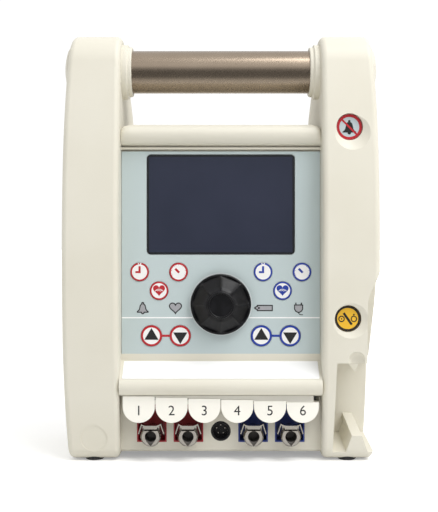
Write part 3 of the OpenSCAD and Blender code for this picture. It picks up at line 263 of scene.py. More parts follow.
def surface(name, colour, rough, metal=0.0, grain_mm=0.5, grain_depth=0.01, stretch=(1, 1, 1),
            mottle_mm=40.0, mottle=0.03, rough_spread=0.06):
    """A finish with grain, a slow change of tone and a change of gloss."""
    material, tree, shader, where = empty_material(name, rough, metal)
    slow = noise(tree, where, mottle_mm, 4)
    darker = tuple(c * (1 - mottle) for c in colour)
    lighter = tuple(min(1.0, c * (1 + mottle)) for c in colour)
    tone = mixed(tree, ramped(tree, slow, 0.3, 0.7, 0, 1), darker, lighter)
    tree.links.new(tone, shader.inputs["Base Color"])
    gloss = noise(tree, where, mottle_mm / 4, 3, stretch)
    spread = ramped(tree, gloss, 0.3, 0.7, rough - rough_spread, rough + rough_spread)
    tree.links.new(spread, shader.inputs["Roughness"])
    bumped(tree, shader, noise(tree, where, grain_mm, 2, stretch), grain_depth)
    return material


# Materials


def cream_plastic():
    """Cream moulded plastic with a fine spark texture and slightly yellowed patches."""
    material, tree, shader, where = empty_material("cream_shell", 0.5)
    slow = noise(tree, where, 70, 3)
    tone = mixed(tree, ramped(tree, slow, 0.35, 0.65, 0, 1), (0.700, 0.668, 0.568), (0.725, 0.695, 0.600))
    specks = ramped(tree, noise(tree, where, 0.9, 2), 0.25, 0.35, 0.12, 0)
    tone = mixed(tree, specks, tone, (0.60, 0.56, 0.45))
    tree.links.new(tone, shader.inputs["Base Color"])
    tree.links.new(ramped(tree, noise(tree, where, 12, 4), 0.3, 0.7, 0.44, 0.56), shader.inputs["Roughness"])
    grain = tree.nodes.new("ShaderNodeTexVoronoi")
    grain.inputs["Scale"].default_value = 1400
    tree.links.new(where, grain.inputs["Vector"])
    height = math_node(tree, "ADD", grain.outputs["Distance"], noise(tree, where, 0.35, 3))
    bumped(tree, shader, height, 0.012, 0.7)
    return material


def anodised_tube():
    """Satin bronze anodising over fine turning lines around the tube."""
    material, tree, shader, where = empty_material("bronze_aluminium", 0.34, 1.0)
    slow = noise(tree, where, 25, 4)
    tone = mixed(tree, ramped(tree, slow, 0.3, 0.7, 0, 1), (0.286, 0.230, 0.177), (0.316, 0.256, 0.197))
    tree.links.new(tone, shader.inputs["Base Color"])
    lines = noise(tree, where, 0.5, 3, (1, 0.02, 0.02))
    blast = noise(tree, where, 0.8, 2)
    tree.links.new(ramped(tree, blast, 0.3, 0.7, 0.24, 0.33), shader.inputs["Roughness"])
    bumped(tree, shader, math_node(tree, "ADD", lines, blast), 0.0016, 0.5)
    return material


def screen_glass():
    """Dark screen glass with a black border, and a faint matt coat."""
    material, tree, shader, where = empty_material("dark_glass", 0.16)
    split = tree.nodes.new("ShaderNodeSeparateXYZ")
    tree.links.new(where, split.inputs[0])
    across = math_node(tree, "ABSOLUTE", split.outputs["X"])
    up = math_node(tree, "ABSOLUTE", math_node(tree, "SUBTRACT", split.outputs["Z"], LENS_Z * MM))
    outside_x = ramped(tree, across, 0.0545, 0.0549, 0, 1)
    outside_z = ramped(tree, up, 0.0362, 0.0366, 0, 1)
    border = math_node(tree, "MAXIMUM", outside_x, outside_z)
    slow = noise(tree, where, 60, 3)
    glow = mixed(tree, ramped(tree, slow, 0.3, 0.7, 0, 1), (0.020, 0.025, 0.046), (0.026, 0.031, 0.056))
    tree.links.new(mixed(tree, border, glow, (0.012, 0.014, 0.018)), shader.inputs["Base Color"])
    dots = noise(tree, where, 0.25, 1)
    bumped(tree, shader, dots, 0.0015, 0.5)
    shader.inputs["Coat Weight"].default_value = 0.3
    shader.inputs["Coat Roughness"].default_value = 0.1
    return material


def circuit_green():
    """Green solder mask over copper tracks, with silver pads."""
    material, tree, shader, where = empty_material("circuit_board", 0.35)
    tracks = tree.nodes.new("ShaderNodeTexBrick")
    tracks.inputs["Scale"].default_value = 160
    tracks.inputs["Mortar Size"].default_value = 0.018
    tracks.offset = 0.37
    turned = tree.nodes.new("ShaderNodeMapping")
    turned.inputs["Rotation"].default_value = (math.radians(90), 0, 0)
    tree.links.new(where, turned.inputs["Vector"])
    tree.links.new(turned.outputs[0], tracks.inputs["Vector"])
    slow = noise(tree, where, 30, 3)
    mask = mixed(tree, slow, (0.020, 0.125, 0.050), (0.032, 0.165, 0.070))
    lined = mixed(tree, tracks.outputs["Fac"], mask, (0.070, 0.26, 0.12))
    pads = tree.nodes.new("ShaderNodeTexVoronoi")
    pads.inputs["Scale"].default_value = 240
    tree.links.new(where, pads.inputs["Vector"])
    pad = ramped(tree, pads.outputs["Distance"], 0.12, 0.16, 1, 0)
    tree.links.new(mixed(tree, pad, lined, (0.62, 0.62, 0.60)), shader.inputs["Base Color"])
    tree.links.new(ramped(tree, pad, 0, 1, 0.38, 0.25), shader.inputs["Roughness"])
    bumped(tree, shader, tracks.outputs["Fac"], 0.02, 0.5)
    return material


def zinc_sheet():
    """Zinc plated sheet with a pale spangle."""
    material, tree, shader, where = empty_material("sheet_steel", 0.38, 1.0)
    spangle = tree.nodes.new("ShaderNodeTexVoronoi")
    spangle.inputs["Scale"].default_value = 180
    tree.links.new(where, spangle.inputs["Vector"])
    grey = tree.nodes.new("ShaderNodeRGBToBW")
    tree.links.new(spangle.outputs["Color"], grey.inputs[0])
    zinc = mixed(tree, grey.outputs[0], (0.52, 0.53, 0.55), (0.66, 0.67, 0.68))
    tree.links.new(zinc, shader.inputs["Base Color"])
    tree.links.new(ramped(tree, grey.outputs[0], 0, 1, 0.30, 0.46), shader.inputs["Roughness"])
    bumped(tree, shader, noise(tree, where, 0.8, 3), 0.006)
    return material


def powder_coat():
    """Black powder coat with orange peel, worn a little where edges stand out."""
    material, tree, shader, where = empty_material("black_paint", 0.45)
    form = tree.nodes.new("ShaderNodeNewGeometry")
    edge = ramped(tree, form.outputs["Pointiness"], 0.56, 0.64, 0, 0.4)
    worn = math_node(tree, "MULTIPLY", edge, ramped(tree, noise(tree, where, 3, 5), 0.5, 0.7, 0, 1))
    coat = mixed(tree, noise(tree, where, 15, 3), (0.012, 0.012, 0.013), (0.020, 0.020, 0.022))
    tree.links.new(mixed(tree, worn, coat, (0.20, 0.20, 0.20)), shader.inputs["Base Color"])
    tree.links.new(ramped(tree, noise(tree, where, 4, 3), 0.3, 0.7, 0.38, 0.52), shader.inputs["Roughness"])
    bumped(tree, shader, noise(tree, where, 1.1, 2), 0.02, 0.5)
    return material


def knob_plastic():
    """Black moulded plastic, a little greyer where fingers turn it."""
    material, tree, shader, where = empty_material("black_plastic", 0.36)
    rub = ramped(tree, noise(tree, where, 7, 6), 0.45, 0.75, 0, 1)
    black = mixed(tree, rub, (0.005, 0.005, 0.006), (0.010, 0.010, 0.012))
    tree.links.new(black, shader.inputs["Base Color"])
    tree.links.new(ramped(tree, rub, 0, 1, 0.30, 0.42), shader.inputs["Roughness"])
    shader.inputs["Specular IOR Level"].default_value = 0.24
    bumped(tree, shader, noise(tree, where, 0.4, 2), 0.008, 0.6)
    return material


def studio_floor():
    """A pale matt floor that glows to run into the white backdrop; far in front its colour is painted dark for
    reflection rays, and the camera sees painted light over its shadows.
    """
    material, tree, shader, where = empty_material("studio_floor", 0.65)
    split = tree.nodes.new("ShaderNodeSeparateXYZ")
    tree.links.new(where, split.inputs[0])
    rays = tree.nodes.new("ShaderNodeLightPath").outputs
    seen = rays["Is Camera Ray"]
    # Painted dark reflection: reflection rays far in front see the floor near black, standing for a dimmer room.
    far = math_node(tree, "MULTIPLY", smooth_ramp(tree, split.outputs["Y"], -0.50, -0.16, 1, 0),
                    rays["Is Glossy Ray"])
    slow = ramped(tree, noise(tree, where, 400, 3), 0.3, 0.7, 0, 1)
    pale = mixed(tree, slow, (0.84, 0.84, 0.83), (0.87, 0.87, 0.86))
    tree.links.new(mixed(tree, far, pale, (0.13, 0.13, 0.13)), shader.inputs["Base Color"])
    reach = tree.nodes.new("ShaderNodeVectorMath")
    reach.operation = "LENGTH"
    tree.links.new(where, reach.inputs[0])
    glow = smooth_ramp(tree, reach.outputs["Value"], 0.25, 1.5, 0, 0.75)
    back = smooth_ramp(tree, split.outputs["Y"], -0.5, 0.4, 0, 1)
    shader.inputs["Emission Color"].default_value = (1, 1, 1, 1)
    # Painted light: only the camera sees the floor glow at least this much, which lightens its shadows.
    painted_camera_glow = math_node(tree, "MULTIPLY", seen, 0.30)
    tree.links.new(math_node(tree, "MAXIMUM", math_node(tree, "MULTIPLY", glow, back), painted_camera_glow),
                   shader.inputs["Emission Strength"])
    bumped(tree, shader, noise(tree, where, 2, 2), 0.01)
    return material


FORMED = {"cream_shell": cream_plastic, "bronze_aluminium": anodised_tube, "dark_glass": screen_glass,
          "circuit_board": circuit_green, "sheet_steel": zinc_sheet, "black_paint": powder_coat,
          "black_plastic": knob_plastic}
INK = dict(grain_mm=0.35, grain_depth=0.003, mottle_mm=6)
FILM = dict(grain_mm=0.35, grain_depth=0.004)
BUTTON = dict(grain_mm=0.4, grain_depth=0.004, mottle_mm=12)
INSERT = dict(rough=0.35, grain_mm=0.5, grain_depth=0.006, mottle_mm=15, mottle=0.06)
LOOKS = {
    "bare_steel": dict(colour=(0.58, 0.59, 0.60), rough=0.30, metal=1.0, grain_mm=0.3, grain_depth=0.004,
                       mottle_mm=8),
    "black_rubber": dict(colour=(0.022, 0.022, 0.023), rough=0.75, grain_mm=0.6, grain_depth=0.03),
    "panel_film": dict(FILM, colour=(0.500, 0.580, 0.585), rough=0.42, mottle_mm=80, mottle=0.015),
    "white_film": dict(colour=(0.93, 0.93, 0.925), rough=0.35, grain_mm=0.4, grain_depth=0.003,
                       mottle_mm=60, mottle=0.01),
    "key_white": dict(FILM, colour=(0.86, 0.85, 0.84), rough=0.38, mottle_mm=10, mottle=0.015),
    "red_key": dict(INK, colour=(0.470, 0.010, 0.020), rough=0.45, mottle=0.05),
    "blue_key": dict(INK, colour=(0.010, 0.040, 0.330), rough=0.45, mottle=0.05),
    "black_print": dict(INK, colour=(0.006, 0.006, 0.007), rough=0.55, mottle=0.08),
    "pale_print": dict(INK, colour=(0.66, 0.71, 0.715), rough=0.42, mottle=0.02),
    "grey_print": dict(INK, colour=(0.36, 0.36, 0.38), rough=0.42, mottle=0.05),
    "grey_button": dict(BUTTON, colour=(0.50, 0.58, 0.61), rough=0.35),
    "amber_button": dict(BUTTON, colour=(0.830, 0.480, 0.022), rough=0.42),
    "red_plastic": dict(INSERT, colour=(0.36, 0.012, 0.022)),
    "blue_plastic": dict(INSERT, colour=(0.014, 0.040, 0.250)),
    "nickel": dict(colour=(0.39, 0.365, 0.33), rough=0.22, metal=1.0, grain_mm=0.35, grain_depth=0.0005,
                   stretch=(1, 0.2, 1), mottle_mm=9, rough_spread=0.04),
    # Painted shade: a dark steel finish for the coupling bores stands for the shade deep inside them.
    "bore_steel": dict(colour=(0.17, 0.16, 0.15), rough=0.5, metal=0.6, grain_mm=0.35, grain_depth=0.001,
                       mottle_mm=6),
    "card_plastic": dict(colour=(0.965, 0.94, 0.86), rough=0.42, grain_depth=0.004, mottle_mm=30, mottle=0.02),
    "battery_case": dict(colour=(0.035, 0.042, 0.060), rough=0.32, grain_mm=3, grain_depth=0.05,
                         mottle_mm=25, mottle=0.12),
    "pale_aluminium": dict(colour=(0.66, 0.66, 0.65), rough=0.33, metal=1.0, grain_mm=0.4, grain_depth=0.006,
                           stretch=(0.05, 1, 1), mottle_mm=20, mottle=0.05),
}


def make_materials():
    """Every finish by name."""
    made = {name: make() for name, make in FORMED.items()}
    made.update({name: surface(name, **look) for name, look in LOOKS.items()})
    return made


# Making meshes, in millimetres


def placed(axis, centre, u, v, t):
    """A point t along an axis through a centre, and u and v off it."""
    x, y, z = centre
    if axis == "X":
        return (x + t, y + u, z + v)
    if axis == "Y":
        return (x + u, y + t, z + v)
    return (x + u, y + v, z + t)


def lathe(profile, axis, centre, steps=72, closed=False, bm=None):
    """Turns a profile of (radius, along) points about an axis."""
    bm = bm or bmesh.new()
    rings = []
    for radius, t in profile:
        if radius < 1e-6:
            rings.append([bm.verts.new(placed(axis, centre, 0, 0, t))])
        else:
            turn = [2 * math.pi * i / steps for i in range(steps)]
            rings.append([bm.verts.new(placed(axis, centre, radius * math.cos(a), radius * math.sin(a), t))
                          for a in turn])
    pairs = list(zip(rings, rings[1:])) + ([(rings[-1], rings[0])] if closed else [])
    for low, high in pairs:
        for i in range(steps):
            j = (i + 1) % steps
            corners = [low[i % len(low)], low[j % len(low)], high[j % len(high)], high[i % len(high)]]
            unique = list(dict.fromkeys(corners))
            if len(unique) > 2:
                bm.faces.new(unique)
    bmesh.ops.recalc_face_normals(bm, faces=bm.faces)
    return bm


def rounded(points, radius, steps=4):
    """An open run of 2D points whose inner corners are rounded."""
    made = [points[0]]
    for before, corner, after in zip(points, points[1:], points[2:]):
        b, c, a = Vector(before), Vector(corner), Vector(after)
        reach = min(radius, (b - c).length * 0.45, (a - c).length * 0.45)
        start, end = c + (b - c).normalized() * reach, c + (a - c).normalized() * reach
        for i in range(steps + 1):
            t = i / steps
            made.append(tuple(start * (1 - t) ** 2 + c * 2 * t * (1 - t) + end * t * t))
    made.append(points[-1])
    return made


def prism(outline, axis, low, high, bm=None):
    """An outline of (u, v) points drawn out along an axis."""
    bm = bm or bmesh.new()
    near = [bm.verts.new(placed(axis, (0, 0, 0), u, v, low)) for u, v in outline]
    far = [bm.verts.new(placed(axis, (0, 0, 0), u, v, high)) for u, v in outline]
    made = [bm.faces.new(near), bm.faces.new(far[::-1])]
    for i in range(len(outline)):
        j = (i + 1) % len(outline)
        made.append(bm.faces.new([near[i], far[i], far[j], near[j]]))
    turned_outwards(bm, made)
    return bm


def box(low, high, bm=None):
    (x0, y0, z0), (x1, y1, z1) = low, high
    return prism([(x0, y0), (x1, y0), (x1, y1), (x0, y1)], "Z", z0, z1, bm)


def rod(radius, axis, centre, low, high, steps=48, bm=None):
    return lathe([(0, low), (radius, low), (radius, high), (0, high)], axis, centre, steps, bm=bm)


def round_rect(width, height, radius, centre=(0, 0), steps=6):
    cx, cz = centre
    made = []
    for sx, sz, start in ((1, 1, 0), (-1, 1, 90), (-1, -1, 180), (1, -1, 270)):
        for i in range(steps + 1):
            a = math.radians(start + 90 * i / steps)
            made.append((cx + sx * (width / 2 - radius) + radius * math.cos(a),
                         cz + sz * (height / 2 - radius) + radius * math.sin(a)))
    return made


def circle(radius, centre=(0, 0), steps=72, start=0):
    """Points around a circle, from a starting angle in degrees."""
    turn = [math.radians(start + 360 * i / steps) for i in range(steps)]
    return [(centre[0] + radius * math.cos(a), centre[1] + radius * math.sin(a)) for a in turn]


def as_object(name, bm, *materials):
    """An object at the origin from a mesh in millimetres."""
    bmesh.ops.scale(bm, vec=(MM, MM, MM), verts=bm.verts)
    mesh = bpy.data.meshes.new(name)
    bm.to_mesh(mesh)
    bm.free()
    made = bpy.data.objects.new(name, mesh)
    scene.collection.objects.link(made)
    for material in materials:
        mesh.materials.append(finish[material])
    return made


def frozen(thing):
    """The object with its modifiers made part of its mesh."""
    bpy.context.view_layer.update()
    graph = bpy.context.evaluated_depsgraph_get()
    mesh = bpy.data.meshes.new_from_object(thing.evaluated_get(graph), preserve_all_data_layers=True,
                                           depsgraph=graph)
    thing.modifiers.clear()
    old = thing.data
    thing.data = mesh
    bpy.data.meshes.remove(old)
    return thing


def cut_by(thing, *tools, operation="DIFFERENCE"):
    """Cuts each tool out of the object, and clears the tools away."""
    for tool in tools:
        cut = thing.modifiers.new("cut", "BOOLEAN")
        cut.operation = operation
        cut.object = tool
        cut.solver = "EXACT"
    frozen(thing)
    for tool in tools:
        bpy.data.objects.remove(tool)
    return thing


def carved(thing, *cutters, operation="DIFFERENCE"):
    """Cuts each mesh in millimetres out of the object."""
    tools = [as_object(f"cutter_{i}", cutter) for i, cutter in enumerate(cutters)]
    return cut_by(thing, *tools, operation=operation)


LEVEL = math.cos(math.radians(0.3))
CURVED = math.cos(math.radians(12))
WIDE_FACE = 2e-5
THIN_FACE = 1e-5


def leveled(mesh):
    """Gives flat faces their own direction at each corner, and slivers that of their widest neighbour."""
    faces = mesh.polygons
    beside, thin, flat, curved, leader = {}, set(), set(), set(), {}
    for face in faces:
        reach = max((mesh.vertices[a].co - mesh.vertices[b].co).length for a, b in face.edge_keys)
        if face.area < reach * THIN_FACE:
            thin.add(face.index)
        elif face.area > WIDE_FACE:
            flat.add(face.index)
        for edge in face.edge_keys:
            beside.setdefault(edge, []).append(face.index)
    for pair in beside.values():
        if len(pair) != 2:
            continue
        slim, wide = sorted(pair, key=lambda index: faces[index].area)
        turn = faces[slim].normal.dot(faces[wide].normal)
        if slim in thin:
            if slim not in leader or faces[wide].area > faces[leader[slim]].area:
                leader[slim] = wide
        elif turn > LEVEL:
            flat.update(pair)
        elif turn > CURVED:
            curved.update(pair)
    leader.update({index: index for index in flat - curved})
    normals = [tuple(corner.vector) for corner in mesh.corner_normals]
    for index, source in leader.items():
        for loop in faces[index].loop_indices:
            normals[loop] = tuple(faces[source].normal)
    mesh.normals_split_custom_set(normals)


def shaded(thing, angle=38):
    """Smooth shading that keeps flat faces flat and corners sharp."""
    mesh = thing.data
    mesh.polygons.foreach_set("use_smooth", [True] * len(mesh.polygons))
    mesh.set_sharp_from_angle(angle=math.radians(angle))
    even = thing.modifiers.new("even", "WEIGHTED_NORMAL")
    even.keep_sharp = True
    even.weight = 80
    frozen(thing)
    leveled(thing.data)
    return thing


def tidied(thing):
    """Merges doubles, drops slivers and strays, closes small gaps, and splits hollow faces."""
    bm = bmesh.new()
    bm.from_mesh(thing.data)
    bmesh.ops.remove_doubles(bm, verts=bm.verts, dist=1e-6)
    bmesh.ops.dissolve_degenerate(bm, edges=bm.edges, dist=1e-6)
    bmesh.ops.holes_fill(bm, edges=[edge for edge in bm.edges if edge.is_boundary], sides=14)
    bmesh.ops.delete(bm, geom=[vert for vert in bm.verts if not vert.link_faces], context="VERTS")
    wrapped = [face for face in bm.faces
               if len(face.verts) > 4 and any(not loop.is_convex for loop in face.loops)]
    bmesh.ops.triangulate(bm, faces=wrapped)
    bm.to_mesh(thing.data)
    bm.free()


def softened(thing, radius, steps=2, angle=32):
    """Rounds every corner line by a radius in millimetres."""
    tidied(thing)
    if radius:
        edge = thing.modifiers.new("edge", "BEVEL")
        edge.width = radius * MM
        edge.segments = steps
        edge.limit_method = "ANGLE"
        edge.angle_limit = math.radians(angle)
        edge.use_clamp_overlap = True
        edge.miter_outer = "MITER_ARC"
        frozen(thing)
        tidied(thing)
    return shaded(thing)


def fitted(thing, body, slot, *replaced):
    """Hands the piece over to its body and hides the nodes it replaces; the slot is not used."""
    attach(thing, body)
    if replaced:
        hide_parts(*replaced)
    return thing


def body_of(node):
    return cad[node]["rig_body"]


def polished(node, slot, radius, second=None, chosen=None, reshape=None, grooves=()):
    """A copy of a CAD node with merged faces and rounded corners, and a second finish on chosen faces."""
    bm = bmesh.new()
    bm.from_mesh(cad[node].data)
    bmesh.ops.remove_doubles(bm, verts=bm.verts, dist=2e-6)
    bmesh.ops.dissolve_limit(bm, angle_limit=math.radians(0.4), verts=bm.verts, edges=bm.edges)
    bmesh.ops.scale(bm, vec=(1 / MM,) * 3, verts=bm.verts)
    if reshape:
        reshape(bm)
    for face in bm.faces:
        face.material_index = int(bool(second) and chosen(face.calc_center_median()))
    made = as_object(node + "_finished", bm, *([slot, second] if second else [slot]))
    if grooves:
        carved(made, *grooves)
    return softened(made, radius)


def dressed(node, slot, radius, **more):
    """A polished copy that stands for its node."""
    return fitted(polished(node, slot, radius, **more), body_of(node), slot, node)


# Trees of geometry nodes


LENGTH, COUNT, PAINT = "NodeSocketFloat", "NodeSocketInt", "NodeSocketMaterial"


def start_tree(name, sizes):
    """A tree with a named input for each size. Gives the tree and its inputs."""
    tree = bpy.data.node_groups.new(name, "GeometryNodeTree")
    tree.interface.new_socket("Geometry", in_out="INPUT", socket_type="NodeSocketGeometry")
    for label, kind in sizes.items():
        tree.interface.new_socket(label, in_out="INPUT", socket_type=kind)
    tree.interface.new_socket("Geometry", in_out="OUTPUT", socket_type="NodeSocketGeometry")
    return tree, tree.nodes.new("NodeGroupInput").outputs


def end_tree(tree, geometry, paint):
    real = step(tree, "GeometryNodeRealizeInstances", {0: geometry})
    painted = step(tree, "GeometryNodeSetMaterial", {"Geometry": real.outputs[0], "Material": paint})
    step(tree, "NodeGroupOutput", {0: painted.outputs[0]})
    return tree


def grown(name, tree, bm, **values):
    """The plain mesh that a tree makes from a starting mesh."""
    made = as_object(name, bm)
    grow = made.modifiers.new("grow", "NODES")
    grow.node_group = tree
    for socket in tree.interface.items_tree:
        label = socket.name.lower().replace(" ", "_")
        if socket.in_out == "INPUT" and label in values:
            grow[socket.identifier] = values[label]
    return frozen(made)


def rows_tree():
    """Copies of the starting mesh in rows and columns about its origin."""
    tree, given = start_tree("copies_in_rows", {"Columns": COUNT, "Rows": COUNT, "Column pitch": LENGTH,
                                                "Row pitch": LENGTH, "Finish": PAINT})
    copies = given["Geometry"]
    for count, pitch, axis in (("Columns", "Column pitch", "X"), ("Rows", "Row pitch", "Y")):
        gaps = math_node(tree, "SUBTRACT", given[count], 1)
        first = math_node(tree, "MULTIPLY", math_node(tree, "MULTIPLY", gaps, -0.5), given[pitch])
        start = step(tree, "ShaderNodeCombineXYZ", {axis: first})
        reach = step(tree, "ShaderNodeCombineXYZ", {axis: given[pitch]})
        line = step(tree, "GeometryNodeMeshLine", {"Count": given[count], "Start Location": start.outputs[0],
                                                   "Offset": reach.outputs[0]})
        copies = step(tree, "GeometryNodeInstanceOnPoints",
                      {"Points": line.outputs[0], "Instance": copies}).outputs[0]
    return end_tree(tree, copies, given["Finish"])


def ring_tree():
    """Copies of the starting mesh around its origin, each turned outwards."""
    tree, given = start_tree("copies_in_a_ring", {"Copies": COUNT, "Radius": LENGTH, "First angle": LENGTH,
                                                  "Angle pitch": LENGTH, "Finish": PAINT})
    line = step(tree, "GeometryNodeMeshLine", {"Count": given["Copies"], "Offset": (0, 0, 0)})
    index = step(tree, "GeometryNodeInputIndex", {}).outputs[0]
    swing = math_node(tree, "MULTIPLY", index, given["Angle pitch"])
    angle = math_node(tree, "ADD", swing, given["First angle"])
    reach_x = math_node(tree, "MULTIPLY", math_node(tree, "COSINE", angle), given["Radius"])
    reach_y = math_node(tree, "MULTIPLY", math_node(tree, "SINE", angle), given["Radius"])
    place = step(tree, "ShaderNodeCombineXYZ", {"X": reach_x, "Y": reach_y}).outputs[0]
    spread = step(tree, "GeometryNodeSetPosition", {"Geometry": line.outputs[0], "Position": place})
    turn = step(tree, "ShaderNodeCombineXYZ", {"Z": angle}).outputs[0]
    facing = step(tree, "FunctionNodeEulerToRotation", {0: turn}).outputs[0]
    copies = step(tree, "GeometryNodeInstanceOnPoints",
                  {"Points": spread.outputs[0], "Instance": given["Geometry"], "Rotation": facing})
    return end_tree(tree, copies.outputs[0], given["Finish"])


HUB_FADE = 0.0016
RIM_FADE = 0.0012
SLOPE_START = -0.004


def flutes_tree():
    """Presses finger flutes into the front of a turned mesh about the Y axis, with a ridge between them."""
    tree, given = start_tree("finger_flutes", {"Flutes": COUNT, "Hub depth": LENGTH, "Rim depth": LENGTH,
                                               "Hub radius": LENGTH, "Rim radius": LENGTH, "Finish": PAINT})
    hub, rim = given["Hub radius"], given["Rim radius"]
    place = step(tree, "GeometryNodeInputPosition", {}).outputs[0]
    split = step(tree, "ShaderNodeSeparateXYZ", {0: place}).outputs
    angle = math_node(tree, "ARCTAN2", split["Z"], split["X"])
    share = math_node(tree, "DIVIDE", math_node(tree, "MULTIPLY", angle, given["Flutes"]), 2 * math.pi)
    phase = math_node(tree, "FRACT", share)
    off = math_node(tree, "SUBTRACT", math_node(tree, "MULTIPLY", phase, 2), 1)
    scallop = math_node(tree, "SUBTRACT", 1, math_node(tree, "POWER", math_node(tree, "ABSOLUTE", off), 3.0))
    flat = step(tree, "ShaderNodeCombineXYZ", {"X": split["X"], "Y": split["Z"]}).outputs[0]
    radius = step(tree, "ShaderNodeVectorMath", {0: flat}, operation="LENGTH").outputs["Value"]
    inner = smooth_ramp(tree, radius, hub, math_node(tree, "ADD", hub, HUB_FADE), 0, 1)
    outer = smooth_ramp(tree, radius, math_node(tree, "SUBTRACT", rim, RIM_FADE), rim, 1, 0)
    depth = ramped(tree, radius, hub, rim, given["Hub depth"], given["Rim depth"])
    fade = math_node(tree, "MULTIPLY", inner, outer)
    press = math_node(tree, "MULTIPLY", math_node(tree, "MULTIPLY", fade, scallop), depth)
    move = step(tree, "ShaderNodeCombineXYZ", {"Y": press}).outputs[0]
    front = step(tree, "FunctionNodeCompare", {0: split["Y"], 1: SLOPE_START}, data_type="FLOAT",
                 operation="LESS_THAN").outputs[0]
    pressed = step(tree, "GeometryNodeSetPosition",
                   {"Geometry": given["Geometry"], "Selection": front, "Offset": move})
    return end_tree(tree, pressed.outputs[0], given["Finish"])


def scatter_tree():
    """Spreads small parts of random sizes over a face, from a fixed seed."""
    tree, given = start_tree("parts_on_a_board", {"Gap": LENGTH, "Smallest": LENGTH, "Largest": LENGTH,
                                                  "Seed": COUNT, "Finish": PAINT})
    points = step(tree, "GeometryNodeDistributePointsOnFaces",
                  {"Mesh": given["Geometry"], "Distance Min": given["Gap"], "Density Max": 6000.0,
                   "Seed": given["Seed"]}, distribute_method="POISSON")
    small = step(tree, "ShaderNodeCombineXYZ", {"X": given["Smallest"], "Y": given["Smallest"],
                                                "Z": given["Smallest"]}).outputs[0]
    large = step(tree, "ShaderNodeCombineXYZ", {"X": given["Largest"], "Y": given["Smallest"],
                                                "Z": given["Largest"]}).outputs[0]
    sizes = step(tree, "FunctionNodeRandomValue", {0: small, 1: large, "Seed": given["Seed"]},
                 data_type="FLOAT_VECTOR").outputs[0]
    part = step(tree, "GeometryNodeMeshCube", {"Size": (1, 1, 1)}).outputs[0]
    copies = step(tree, "GeometryNodeInstanceOnPoints",
                  {"Points": points.outputs["Points"], "Instance": part, "Scale": sizes})
    return end_tree(tree, copies.outputs[0], given["Finish"])


def moved(thing, matrix):
    """Places a finished mesh by a matrix in metres, and leaves its object at the origin."""
    thing.data.transform(matrix)
    return thing


def mm_place(x, y, z):
    return Matrix.Translation((x * MM, y * MM, z * MM))


def joined(name, *things):
    """One object from several, with all their materials."""
    bm = bmesh.new()
    materials = []
    for thing in things:
        start = len(bm.faces)
        bm.from_mesh(thing.data)
        bm.faces.ensure_lookup_table()
        places = []
        for material in thing.data.materials:
            if material not in materials:
                materials.append(material)
            places.append(materials.index(material))
        for face in bm.faces[start:]:
            face.material_index = places[min(face.material_index, len(places) - 1)] if places else 0
    mesh = bpy.data.meshes.new(name)
    bm.to_mesh(mesh)
    bm.free()
    for material in materials:
        mesh.materials.append(material)
    made = bpy.data.objects.new(name, mesh)
    scene.collection.objects.link(made)
    for thing in things:
        bpy.data.objects.remove(thing)
    return made


# Printed marks: thin layers on a face that looks forward, drawn in x and z


PRINT_T = 0.06


def turned_outwards(bm, faces):
    """Gives a closed run of faces one direction, and turns it so that it encloses a positive volume."""
    bmesh.ops.recalc_face_normals(bm, faces=faces)
    for face in faces:
        face.normal_update()
    volume = sum(face.calc_center_median().dot(face.normal) * face.calc_area() for face in faces)
    middle = sum((face.calc_center_median() for face in faces), Vector()) / len(faces)
    volume -= sum(middle.dot(face.normal) * face.calc_area() for face in faces)
    if volume < 0:
        bmesh.ops.reverse_faces(bm, faces=faces)


class Print:
    """Marks of several inks on a face at a given y, drawn about a centre."""

    def __init__(self, y, centre=(0, 0)):
        self.bm = bmesh.new()
        self.inks = []
        self.y = y
        self.centre = centre

    def ink(self, material):
        if material not in self.inks:
            self.inks.append(material)
        return self.inks.index(material)

    def fill(self, material, outline, lift=0):
        """A filled outline of (x, z) points."""
        ink = self.ink(material)
        before = set(self.bm.faces)
        cx, cz = self.centre
        front = self.y - PRINT_T * (1 + lift)
        prism([(cx + x, cz + z) for x, z in outline], "Y", front, self.y + 0.02, self.bm)
        for face in self.bm.faces:
            if face not in before:
                face.material_index = ink

    def band(self, material, inside, outside, closed=False, lift=0):
        """The strip between two runs of points."""
        ink = self.ink(material)
        cx, cz = self.centre
        front, back = self.y - PRINT_T * (1 + lift), self.y + 0.02
        rows = [[self.bm.verts.new((cx + x, y, cz + z)) for x, z in run]
                for run, y in ((inside, front), (outside, front), (outside, back), (inside, back))]
        n = len(inside)
        made = []
        for i in range(n if closed else n - 1):
            j = (i + 1) % n
            for a, b in ((0, 1), (1, 2), (2, 3), (3, 0)):
                made.append(self.bm.faces.new([rows[a][i], rows[a][j], rows[b][j], rows[b][i]]))
        if not closed:
            made.append(self.bm.faces.new([row[0] for row in rows]))
            made.append(self.bm.faces.new([row[-1] for row in rows]))
        turned_outwards(self.bm, made)
        for face in made:
            face.material_index = ink

    def line(self, material, points, width, closed=False, lift=0):
        """A line of even width along a run of points."""
        inside, outside = [], []
        n = len(points)
        for i in range(n):
            here = Vector(points[i])
            before = Vector(points[i - 1]) if closed or i else here
            after = Vector(points[(i + 1) % n]) if closed or i < n - 1 else here
            a, b = here - before, after - here
            a = a.normalized() if a.length > 1e-9 else b.normalized()
            b = b.normalized() if b.length > 1e-9 else a
            way = (a + b).normalized() if (a + b).length > 1e-6 else a
            side = Vector((-way.y, way.x)) * (width / 2 / max(0.75, way.dot(a)))
            inside.append(tuple(here - side))
            outside.append(tuple(here + side))
        self.band(material, inside, outside, closed, lift)

    def ring(self, material, inner, outer, lift=0):
        """A ring about the centre."""
        self.band(material, circle(inner), circle(outer), True, lift)

    def dot(self, material, x, z, radius, lift=0):
        self.fill(material, circle(radius, (x, z), 24), lift)

    def done(self, name):
        return as_object(name, self.bm, *self.inks)


